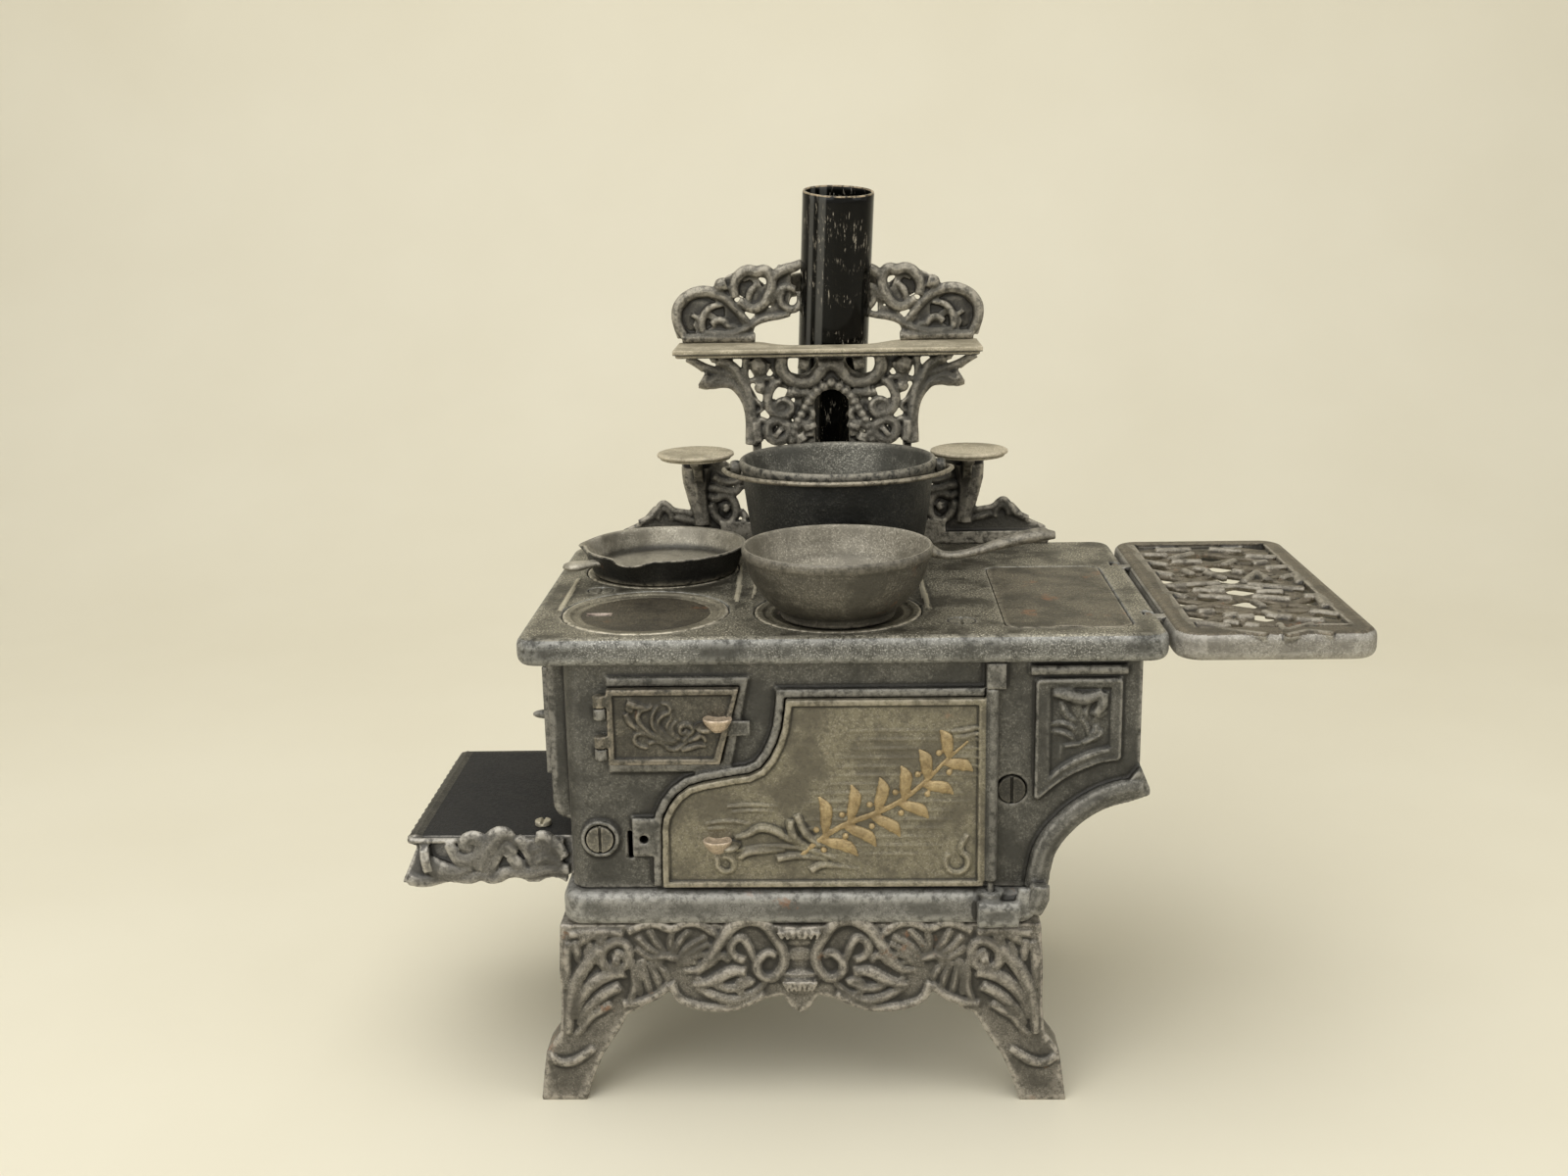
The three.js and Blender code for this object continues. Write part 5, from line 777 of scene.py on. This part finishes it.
BROAD_SCROLLS = [
    ([(-56.5, 241.7), (-51, 239.2), (-47.7, 234.3), (-45.6, 229.1), (-44.3, 222.6), (-43.9, 215.3),
      (-44.2, 208.8)], [2, 2.2, 2.2, 2.4]),
    ([(-62.7, 235.3), (-59.6, 233.3), (-55.1, 233.2), (-51.1, 232.2), (-48, 229.1)], [3.2, 2.2, 1.7, 1.6]),
    ([(-66.9, 242.2), (-61.8, 239.3), (-55.8, 237.3), (-50.3, 235.6)], [1.6, 1.7, 1.5]),
    ([(-42.5, 242.2), (-40.7, 239.4), (-39.6, 236.6)], [2.2, 3.2, 2]),
    ([(-31.7, 242.9), (-31.5, 238.1), (-29, 234.6), (-24.3, 232.8), (-19.4, 233.9), (-17, 237.1),
      (-14.6, 239), (-12.2, 239.6)], [2.2, 2.2, 2.2, 2]),
    ([(-33.1, 233.7), (-36.5, 230.2), (-37.5, 225.7), (-35.7, 221.7), (-32.1, 220), (-28.8, 222.4),
      (-29.6, 225.2), (-32.8, 225.7)], [1.6, 1.9, 1.9, 1.5, 1.2]),
    ([(-20.7, 228.7), (-24.7, 228.8), (-27.8, 229.2)], [1.2, 1.5, 2.3]),
    ([(-40.7, 232.6), (-39.9, 231), (-38.3, 229.8)], [2.2, 2.5, 1.5]),
    ([(-33.3, 218.4), (-37, 216.8), (-37.7, 213.6), (-35.5, 210.7), (-31.9, 210.7), (-29.4, 213.1),
      (-29.8, 215.9), (-32.2, 216.8)], [1.9, 2.1, 2, 1.8]),
    ([(-42.6, 217.7), (-42.7, 213.7), (-42, 209.6)], [2.6, 2.8, 2.4]),
    ([(-21.7, 216.6), (-20.9, 214.6)], [2.6, 2.6]),
    ([(-25.8, 212.6), (-24.2, 209.7)], [2.2, 2.4]),
    ([(-25.3, 240.4), (-21.4, 239.5)], [2, 2.2]),
]
ARCH_BEADS = [
    (-12.7, 232.6), (-15.7, 231.2), (-18.3, 229.5), (-20.3, 227.5), (-21.6, 225.4), (-23, 223),
    (-24.5, 220.5), (-25.7, 218.1), (-26.9, 215.7), (-27.7, 213.1), (-28.4, 210.5),
]
COLUMN = [
    ([(-59.6, 196.3), (-56.8, 194.5), (-52.6, 193.8), (-48.6, 194.9)], [1.2, 1.3, 1.2]),
    ([(-63.3, 191.5), (-59.1, 191.6), (-55.3, 190.4), (-51.1, 190.1), (-48.8, 192.6)], [1.3, 1.6, 1.5, 1.2]),
    ([(-61.8, 188.6), (-58.6, 187.4), (-56, 188.6), (-53.1, 188), (-51.2, 184.8), (-51, 180.9),
      (-52.7, 178.4), (-55.6, 177.6), (-58.2, 179.3), (-60, 182), (-61.2, 184.9)],
      [1.1, 1.4, 1.4, 1.3, 1.3, 1.2]),
    ([(-55.4, 184.9), (-54.5, 183.5), (-55.5, 182.2)], [0.9, 1, 0.8]),
    ([(-89.6, 177.9), (-84.6, 180.5), (-81.7, 183.9), (-79.9, 185.7), (-78.2, 185), (-76.1, 183),
      (-71.6, 182), (-67.8, 181.4)], [1.1, 1.2, 1.1, 1.1, 1.1]),
    ([(-82.1, 179.6), (-81.3, 182.2), (-79, 183.5), (-76.8, 181.5), (-76.3, 179)], [0.9, 1.1, 0.9]),
    ([(-74.9, 180.3), (-71.7, 179.4), (-67.6, 178.3)], [1.1, 1.3, 1]),
    ([(-49, 182.8), (-47.5, 180.2), (-46.6, 176.9)], [0.9, 1.2, 1]),
    ([(-66.2, 200), (-66.4, 195.1), (-66.1, 190.2), (-65.4, 185), (-64.6, 180.4), (-64.4, 176.8)],
      [4.6, 4.2, 3.2, 2.8, 2.6]),
]
CREST_SCROLLS = [
    ([(-69.8, 248.9), (-72.4, 252.9), (-73.5, 258), (-72.1, 262.5), (-68, 265.9), (-62.5, 267.2),
      (-57.9, 266.3), (-53.8, 264.1), (-50.5, 260.7), (-47.3, 257.1), (-44.4, 253.8)],
      [1.2, 1.6, 1.7, 1.8, 1.6, 1.3, 1]),
    ([(-63.4, 251.6), (-63.6, 255.3), (-61.8, 259.3), (-58.9, 261.4), (-55.5, 261.8)], [1.2, 1.3, 1.1, 0.7]),
    ([(-67.4, 258.3), (-65.3, 256.9), (-63.1, 255.1)], [0.7, 0.8, 0.8]),
    ([(-59.5, 254), (-57.8, 255.8), (-54.9, 255.5), (-53, 253.5), (-50.7, 252.9), (-48.3, 251.1)],
      [1.1, 1.3, 1.2, 0.8]),
    ([(-63.4, 250.9), (-57.5, 250.4), (-51.6, 250.5), (-47, 252.1), (-44.2, 253.8)], [1.2, 1.5, 1.5, 1]),
    ([(-56.2, 267.5), (-55.5, 269.3), (-53.4, 270)], [1.6, 2.3, 2]),
    ([(-53.6, 264.7), (-51.1, 261.5), (-48.1, 256.7), (-46.3, 253.4)], [0.7, 0.9, 0.8]),
    ([(-50.4, 264.6), (-50.6, 269.2), (-48.5, 273), (-45.2, 275), (-41.4, 274.4), (-38.1, 274.9),
      (-36, 272.4), (-35.6, 269.3), (-37, 265.2), (-39.6, 261.6), (-43, 260.3), (-46.3, 261.5),
      (-48.8, 263.4)], [1.5, 1.8, 1.8, 1.7, 1.8, 1.6, 1.4]),
    ([(-41.5, 269.8), (-44.1, 266.6), (-45.2, 262.9)], [0.9, 1.2, 0.9]),
    ([(-35.7, 270.6), (-33.6, 273.4), (-30.2, 275.2), (-26.9, 276.1), (-23.7, 277.7)], [1.5, 1.8, 1.7, 1.3]),
    ([(-36.1, 262.7), (-34.1, 265.6), (-32, 267.6), (-29.1, 268.2), (-26.4, 267.3)], [1.1, 1.3, 1.1]),
    ([(-24.9, 266.7), (-24.5, 263.4), (-25.4, 260.9), (-27.8, 259.7), (-30.9, 261), (-32.3, 263.9),
      (-31.5, 266.8)], [1.1, 1.3, 1.2]),
    ([(-71.5, 249.1), (-60.9, 249.2), (-50.8, 249.1), (-42.6, 248.8)], [1.5, 1.6, 1.5]),
    ([(-44.4, 253.3), (-41.9, 255), (-38.1, 256.4), (-33, 257.1), (-28.8, 258.1)], [1, 1.2, 1]),
]
guard_middle = -12.7
crest_middle = -14.1
guard_face = 46.5
arch_face = guard_face - 0.4
crest_face = 61.9
bracket = [([(-60.6, 184.4), (-56, 183.6), (-51.4, 182.8)], [3, 5, 3])]
guard_cast = [
    ridges(GUARD_SCROLLS, arch_face, 0.85, guard_middle, swell=1.3),
    ridges(COLUMN, guard_face, 0.7, guard_middle, swell=1.3),
    ridges(BROAD_SCROLLS, arch_face, 0.75, guard_middle, swell=1.1),
    ridges(bracket, guard_face + 1.4, 0.2, guard_middle),
    beads([(x, guard_face, z) for x in (-32, 6.6) for z in (223.6, 214)], 2.6, 0.5),
    beads([(x, arch_face, z) for x, z in ARCH_BEADS], 2, 0.9),
    beads([(2 * guard_middle - x, arch_face, z) for x, z in ARCH_BEADS[1:]], 2, 0.9),
]
cast("guard", "back_guard", 0.45, 0.55, guard_iron, raised=guard_cast)
# Thin webs of iron fill the crest behind its scrolls.
crest_web = [
    ([(-73.6, 258), (-70.5, 258), (-64, 257.4), (-56, 256), (-49, 253.5)], [3.6, 6.6, 7.8, 7.4, 4]),
    ([(-48.6, 268.4), (-43.5, 267.4), (-38, 265)], [3, 5, 3.4]),
]
crest_cast = [
    ridges(CREST_SCROLLS, crest_face, 0.8, crest_middle, swell=1.35),
    ridges(crest_web, crest_face + 1.5, 0.12, crest_middle),
]
cast("crest", "shelf_crest", 0.42, 0.6, guard_iron, raised=crest_cast)
# The high shelf's edge steps in twice, as a moulding does.
steps = []
for left, right, front, width, z in ((-72.2, 44, 35.4, 0.9, 246.1), (-71.2, 43, 36.2, 0.7, 244.4)):
    around = [(left, 60), (left, front + 0.1), (left + 0.1, front)]
    around += [(right - 0.1, front), (right, front + 0.1), (right, 60)]
    steps.append(ridges([(around, [width, width])], z, across="XY"))
groove_low, groove_high, shelf_foot = 244.9, 245.6, 244.2
shelf = cast("warming_shelf", "high_shelf", 0.3, 0.3, (shelf_iron, guard_iron), raised=steps, soften=1)
# The groove between the two steps and all below the shelf's foot take the dark guard iron: painted shade in the
# groove and under the shelf.
toned(shelf, lambda at, facing: (
    groove_low < at.z < groove_high and abs(facing.z) < 0.9 or at.z < shelf_foot
))
cast("trivet_left", "left_trivet", 0.35, 0.5, shelf_iron)
cast("trivet_right", "right_trivet", 0.35, 0.5, shelf_iron)


# ---- Lids and reservoir cover
# Ground flat on top, each lid with a raised ring near its edge and a slot for the lifter;
# the cover has a fine border. They rest loose in their seats.

# Tan round the edge where the lifter and pans rub, brown in the middle, pale at the slot.
lid_iron = iron("tan_lid_iron", "#4b4639 #7a7463 #b8b09a #cfc7b3", specks=0.8, rub=0.8)
lid_middle = iron(
    "brown_lid_iron", "#231f19 #433d30 #8c8470 #8d8674", rust=0.5, specks=0.5,
)
slot_iron = iron(
    "rubbed_slot_iron", "#6d6056 #998b7e #c2b5a8 #b9ada0", rust=0.4, specks=0.5,
)
cover_iron = iron(
    "dark_speckled_cover_iron", "#2c2920 #524c3f #aba28b #a8a08e", rust=1.0, specks=0.7,
)
lid_top = 167.7
rings_at = ((27.4, 0.55, lid_top), (22.6, 0.4, lid_top - 0.5))  # radius, width and height
slot_in, slot_long, slot_wide, slot_foot = 16, 4.4, 1.9, 165.8
middle_reach, middle_top = 22, 167


def circle(x, y, radius, count):
    turns = [k * math.tau / count for k in range(count + 1)]
    return [(x + radius * math.cos(turn), y + radius * math.sin(turn)) for turn in turns]


for node in ("lid_front_left", "lid_front_right", "lid_rear_left", "lid_rear_right"):
    low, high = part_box(node)
    x, y = (low.x + high.x) / 2 / MM, (low.y + high.y) / 2 / MM
    rings = [
        ridges([(circle(x, y, radius, 24), [width, width])], z, 0.8, across="XY")
        for radius, width, z in rings_at
    ]
    lid = cast(node + "_casting", node, 0.36, 0.5, (lid_iron, lid_middle, slot_iron), node, rings)
    toned(lid, lambda at, facing: 2 if (
        abs(at.x - x + slot_in) < slot_long and abs(at.y - y) < slot_wide and at.z > slot_foot
    ) else math.hypot(at.x - x, at.y - y) < middle_reach or at.z < middle_top)
border_lines = (
    ((46.5, -75), (83.2, -75)), ((46.5, 3.2), (83.2, 3.2)),
    ((46.2, -75), (46.2, 3.2)), ((83.6, -75), (83.6, 3.2)),
)
border = ridges([(ends, [0.4, 0.4]) for ends in border_lines], lid_top, 0.8, across="XY")
cast("tank_cover", "reservoir_cover", 0.42, 0.4, cover_iron, "reservoir_cover", [border])


# ---- Saucepan
# Thin bowl on a foot ring with one rising handle, all one casting, greyer inside.
def rounded(name, meshes):
    """Joins meshes as they are and rounds them with a subdivision surface."""
    raw = joined(name, meshes)
    skin = raw.modifiers.new("skin", "SUBSURF")
    skin.levels = skin.render_levels = 1
    mesh = evaluated(raw)
    mesh.shade_smooth()
    mesh.name = name
    relief(mesh, 6)
    return mesh


def looks_in(at, facing, x, y, reach, floor):
    """Whether a face of a pan with this middle and reach is on its inside."""
    out = Vector((at.x - x, at.y - y, 0))
    return at.z > floor and out.length < reach and (facing.dot(out) < 0 or facing.z > 0.8)


# Brown and smooth with use outside, scoured to a paler grey inside.
pan_iron = iron(
    "seasoned_pan_iron", "#3a372f #565249 #a09a8b #a39c8d", rust=0.5, specks=0.4, rub=0.45,
)
pan_inside = iron(
    "grey_pan_inside", "#645f52 #8b8576 #cac3b2 #b3ac9b", metal=0.3, peel=0.6,
)
pan_x, pan_y, pan_reach, pan_floor = -10.8, -61, 31.2, 172
bowl = spun(
    [(0, 170.6), (16.8, 170.6), (17, 168.3), (19.2, 168.3), (19.6, 170.4), (20, 171.6), (23, 173.9),
     (26.2, 177.4), (28.8, 181.6), (30.4, 186.2), (31.1, 189), (31.9, 189.8), (32, 191.9), (31.6, 192.7),
     (31, 192.9), (30.4, 192.6), (30.1, 191.6), (29.2, 187), (27.6, 182.4), (25, 178.4), (21.8, 175.2),
     (18.6, 173.4), (0, 172.8)],
    (pan_x, pan_y, 0), finest=1.6,
)
rise = ((30.5, 190.4), (35, 188.6), (42, 188.8), (51, 191.2), (60, 193.7), (67, 195), (72, 194.9))
rise_radii = [2.4, 1.5, 1.5, 1.8, 2.3, 2.6, 1.4]
handle = ridges([([(pan_x + r, z) for r, z in rise], rise_radii)], pan_y, 1.7)
pan = placed(
    "sauce_pan", rounded("sauce_pan", [bowl, handle]), (pan_iron, pan_inside), "saucepan", "saucepan",
)
toned(pan, lambda at, facing: looks_in(at, facing, pan_x, pan_y, pan_reach, pan_floor))


# ---- Skillet
# Shallow pan with two pouring lips and a short, flat tab of a handle, cast together.

# Black with burnt-on grease outside, rubbed to bright smooth iron inside and on the tab.
skillet_iron = iron(
    "black_skillet_iron", "#171613 #252420 #55524a #b3ac9b", rust=0.5, specks=0.4, rub=0.8,
)
skillet_inside = iron(
    "bright_skillet_inside", "#716c5f #9a9485 #d2ccba #c4bdab", rough=0.36, peel=0.5,
)
skillet_x, skillet_y, skillet_reach, skillet_floor = -75.4, 6, 33, 169.6
dish = spun(
    [(0, 168.3), (25.8, 168.3), (26.8, 168.9), (27.6, 171), (30, 177.6), (30.5, 178.3), (30.2, 178.8),
     (29.2, 178.8), (28.7, 178.2), (26.2, 171.6), (25, 170.6), (23, 170.3), (0, 170.3)],
    steps=120, finest=1.6,
)
# The rim is drawn out and down into each lip, most at its top.
spouts, spout_half, spout_pull, spout_drop = (169, 252), 16, 3.2, 1.3
wall_foot, wall_height, wall_reach = 171.4, 7, 0.022
for vert in dish.vertices:
    turn, radius = math.degrees(math.atan2(vert.co.y, vert.co.x)), math.hypot(vert.co.x, vert.co.y)
    raised = max(0.0, (vert.co.z / MM - wall_foot) / wall_height)
    for spout in spouts:
        off = abs((turn - spout + 540) % 360 - 180)
        if off < spout_half and radius > wall_reach:
            pull = math.cos(math.radians(off / spout_half * 90)) * raised
            vert.co.x *= 1 + pull * spout_pull * MM / radius
            vert.co.y *= 1 + pull * spout_pull * MM / radius
            vert.co.z -= pull * spout_drop * MM
dish.transform(Matrix.Translation(Vector((skillet_x, skillet_y, 0)) * MM))
tab_turn = math.radians(215)
out = Vector((math.cos(tab_turn), math.sin(tab_turn)))
grip_level = 175.2
grip = [(skillet_x + out.x * r, skillet_y + out.y * r) for r in (27.5, 31, 34.5, 38, 40.5, 41.8)]
tab = ridges([(grip, [4.4, 3.2, 4.2, 4.8, 3.8, 1.4])], grip_level, 0.4, across="XY")
tab_from = 31.5
frying = placed(
    "frying_pan", rounded("frying_pan", [dish, tab]), (skillet_iron, skillet_inside), "skillet", "skillet",
)
toned(frying, lambda at, facing: looks_in(at, facing, skillet_x, skillet_y, skillet_reach, skillet_floor) or (
    (at.x - skillet_x) * out.x + (at.y - skillet_y) * out.y > tab_from
))


# ---- Pot and its bail
# Deep black pot with a rolled rim and an ear each side; a steel wire bail hooks through
# the ears and lies forward round the rim.

# Soot black outside, dull grey inside, and the wire grey with a soft shine.
pot_iron = iron("black_pot_iron", "#131411 #20201d #55544d #a09a8b", rub=0.7)
pot_inside = iron("grey_pot_inside", "#45443d #66645b #adaa9c #a09a8b", specks=0.9, peel=0.6)
bail_steel = iron("dull_wire_steel", "#2e2c27 #5a5448 #a89e8a #b5ac98", rough=0.38, metal=0.6)
pot_x, pot_y, pot_reach, pot_floor, ear_z = -10.5, 7, 35.4, 170, 206.5
vessel = spun(
    [(0, 168.3), (27.6, 168.3), (29.1, 168.9), (29.8, 170.4), (30.6, 174), (32, 181), (33.4, 190), (34.6, 199),
     (35.2, 205.6), (36, 206.6), (36.4, 208), (36.3, 209.6), (35.6, 210.3), (34.6, 210.2), (34, 209.4),
     (33.6, 205), (32.4, 197), (30.9, 186), (29.2, 176), (27.8, 172.2), (25, 170.8), (0, 170.5)],
    (pot_x, pot_y, 0), finest=1.8,
)
ear_out, ear_radius, ear_wire = 37.7, 2.2, 0.9
ear = (circle(pot_y, ear_z, ear_radius, 10), [ear_wire, ear_wire])
ears = [ridges([ear], pot_x + side * ear_out, 2.4, across="YZ") for side in (-1, 1)]
deep = placed("deep_pot", rounded("deep_pot", [vessel, *ears]), (pot_iron, pot_inside), "pot", "pot")
toned(deep, lambda at, facing: looks_in(at, facing, pot_x, pot_y, pot_reach, pot_floor))

wire = bpy.data.curves.new("bail", "CURVE")
wire.dimensions = "3D"
wire.bevel_depth = 0.9 * MM
wire.bevel_resolution = 4
wire.resolution_u = 8
wire.use_fill_caps = True
line = wire.splines.new("BEZIER")
bow_half, bow_forward, bow_rise = 41.8, -39, 0.7
bow = []
for turn in (math.radians(angle) for angle in range(12, 169, 12)):
    bow.append((bow_half * math.cos(turn), bow_forward * math.sin(turn), bow_rise * math.sin(turn)))
route = [(36.9, 0, 0), (39.4, 0, 0), (41.4, -1.6, 0), *bow, (-41.4, -1.6, 0), (-39.4, 0, 0), (-36.9, 0, 0)]
line.bezier_points.add(len(route) - 1)
for point, place in zip(line.bezier_points, route):
    point.co = (Vector(place) + Vector((pot_x, pot_y, ear_z))) * MM
    point.handle_left_type = point.handle_right_type = "AUTO"
source = bpy.data.objects.new("bail", wire)
scene.collection.objects.link(source)
bail = evaluated(source)
bail.shade_smooth()
relief(bail)
placed("wire_bail", bail, bail_steel, "pot_bail", "pot_bail")


# ---- Stove pipe
# Tube rolled from sheet in black enamel with a bare rusty edge. It drops over the collar of
# the flue and leans a little forward.

# Glossy black, two pale stripes of painted reflection down its left, chips and fine scratches down to the
# steel.
# A scratch is 0.8 mm wide and eleven times as long, coarser than the real one so that it shows.
material, tree = new_material("scratched_black_enamel")
coords = add(tree, "TexCoord").outputs["Object"]
long_way = add(tree, "Mapping", {"Vector": coords, "Scale": (1.0, 1.0, 0.09)})
moved = add(tree, "VectorMath", {0: coords, 1: (0.6, 0.3, -0.6)})
patterns = []
for place, size, detail, roughness in (
    (long_way, 0.8, 3, 0.7), (coords, 11.765, 3, 0.6), (moved, 2.381, 4, 0.7),
):
    patterns.append(add(
        tree, "TexNoise",
        {"Vector": place, "Scale": 1000 / size, "Detail": detail, "Roughness": roughness},
    ))
scratch, worn, chips = patterns
bare = add(tree, "Math", {
    0: masked(tree, 1, (scratch, 0.57, 0.67), (worn, 0.47, 0.6)),
    1: masked(tree, 1, (chips, 0.63, 0.7), (worn, 0.5, 0.66)),
}, operation="MAXIMUM")
across = add(tree, "VectorMath", {0: coords, 1: (1.0, 0.0, -0.045)}, operation="DOT_PRODUCT")
edge = add(tree, "Attribute", attribute_name="relief").outputs["Fac"]
blur = 0.4 * MM
layers = []
# Two pale stripes down the tube's left side: painted reflections.
for left, right in ((-33.6 * MM, -32 * MM), (-30.2 * MM, -27.5 * MM)):
    ends = (across, left - blur, left + blur), (across, right + blur, right - blur)
    layers.append((masked(tree, 0.75, *ends), "#55544f"))
layers.append((add(tree, "Math", {0: bare, 1: 0.85}, operation="MULTIPLY"), "#b3aa98"))
layers.append((masked(tree, 1, (edge, 0.05, 0.2), (chips, 0.35, 0.6)), "#a08f74"))
body = add(tree, "Mix", {0: worn, 6: colour("#040403"), 7: colour("#0c0c0a")}, data_type="RGBA")
for cover, shade in layers:
    body = add(tree, "Mix", {0: cover, 6: body, 7: colour(shade)}, data_type="RGBA")
bump = add(tree, "Bump", {"Height": chips, "Strength": 0.25, "Distance": 0.1 * MM})
gloss = add(tree, "MapRange", {"Value": bare, "To Min": 0.13, "To Max": 0.6})
surface = add(
    tree, "BsdfPrincipled",
    {"Base Color": body, "Roughness": gloss, "Normal": bump, "Specular IOR Level": 0.16},
)
add(tree, "OutputMaterial", {"Surface": surface})
outer, inner, pipe_long = 13.8, 12.8, 144.2
pipe_foot, lean = Vector((-15.6, 76.5, 162.3)), Vector((0.045, -0.1405, 1)).normalized()
rings = range(1, 48)
profile = [(inner, 0), (13.2, -0.4), (outer, 0.2), *((outer, 3 * k) for k in rings)]
profile += [(outer, 143.6), (13.55, pipe_long), (13, pipe_long), (inner, 143.6)]
profile += [*((inner, 3 * k) for k in reversed(rings)), (inner, 0)]
bare_edge = (pipe_long - 0.5) * MM
tube = spun(profile)
edges = tube.attributes.new("relief", "FLOAT", "POINT")
for vert in tube.vertices:
    edges.data[vert.index].value = 1.0 if vert.co.z > bare_edge or vert.co.z < 0 else 0.0
tube.transform(Matrix.Translation(pipe_foot * MM) @ lean.to_track_quat("Z", "Y").to_matrix().to_4x4())
tube.shade_smooth()
placed("pipe", tube, material, "stove_pipe", "stove_pipe")


# ---- Handles
# A small shell on each door for the fingers, pressed from steel. It stands on the door's
# face.

# Grey steel gone warm with handling, smoother than the castings.
# Its hollows are darkened to brown: painted shade.
worn_steel = iron(
    "rubbed_handle_steel", "#8a7c68 #b8a58d #e6d3ba #ead9c2", painted_hollow_shade="#4d4234", rough=0.36,
)
for name, door, x, z in (
    ("fire_handle", "fire_door", -50.4, 138.9), ("oven_handle", "oven_door", -51.5, 96.4),
):
    shell = spun(
        [(0, -3), (1.7, -2.8), (3.2, -1.6), (4.3, 0.2), (4.9, 1.4), (4.7, 2), (4.1, 1.8), (3.1, 1.2), (0, 0.6)],
        (x, -87, z), 40, 0.8,
    )
    placed(name, fused(name, [shell], 0.28, 1), worn_steel, door)


# ---- Vine on the oven door
# A plain branch with paired leaves and berries, cast with the door and rubbed back to a
# brassy tone, bright on the leaves, with brown painted shade in the veins between them.
brass = iron(
    "brassy_rubbed_ornament", "#6f5f42 #96815b #b8a57c #bda97f",
    painted_hollow_shade="#3c3323", specks=0.5, rough=0.45,
)
stem = [(-25, 90.5), (-17, 97.5), (-9, 102.5), (0, 106), (9, 110.5), (17, 117), (24, 124.5), (31.5, 131.5)]
branch = [(stem, [0.8, 1.1, 1.1, 1, 0.8, 0.5])]
vine_face = -84.6
fruit = []
for k, side in ((k, side) for k in range(1, len(stem) - 1) for side in (-1, 1)):
    (ax, az), (bx, bz) = stem[k - 1], stem[k + 1]
    along = Vector((bx - ax, bz - az)).normalized()
    beside = Vector((-along.y, along.x)) * side
    root = Vector(stem[k]) + along * (1.2 if side > 0 else -1.2)
    size = 1.15 - 0.06 * k
    leaf = [root] + [
        root + (along * far + beside * out) * size for far, out in ((3, 3.2), (6, 7.2), (6.6, 11.4))
    ]
    branch.append(([tuple(point) for point in leaf], [0.5, 2, 2.3, 0.4]))
    berry = root - along * 0.6 + beside * 3.6
    fruit.append((berry.x, vine_face - 0.1, berry.y))
ornament = [ridges(branch, vine_face, 0.5), beads(fruit, 1.15, 0.8)]
placed("vine", fused("vine", ornament, 0.34, 0.7), brass, "oven_door")


# ---- The rest of the frame
# Walls, oven, grate, tank and flue box inside and behind, and the screws, bolts and nuts:
# they keep their shape from the frame and take a cast skin.

# Inside, bare iron that heat browned; bolt heads rubbed by the screwdriver or left dark.
inner_iron = iron("bare_oven_iron", "#2c2a25 #45423a #605c52 #6f6a5f")
bolt_iron = iron("rubbed_bolt_iron", "#3d3b34 #5d594f #98927f #a8a191", rough=0.42)
bolt_dark = iron("dark_bolt_iron", "#1f1e1a #34322c #5c584e #6f6a5e")
for node, finish, voxel in (
    ("back_panel", body_iron, 0.9), ("reservoir_end_panel", body_iron, 0.8), ("oven_shell", inner_iron, 1),
    ("firebox_grate", inner_iron, 0.7), ("reservoir_tank", inner_iron, 0.8), ("flue_box", body_iron, 0.7),
    ("hearth_screw", rib_iron, 0.3), ("left_tie_bolt", bolt_iron, 0.3), ("right_tie_bolt", bolt_dark, 0.3),
    ("left_tie_nut", bolt_dark, 0.3), ("right_tie_nut", bolt_dark, 0.3), ("left_top_screw", plate_iron, 0.3),
    ("right_top_screw", plate_iron, 0.3),
):
    cast(node + "_part", node, voxel, 0.4, finish)
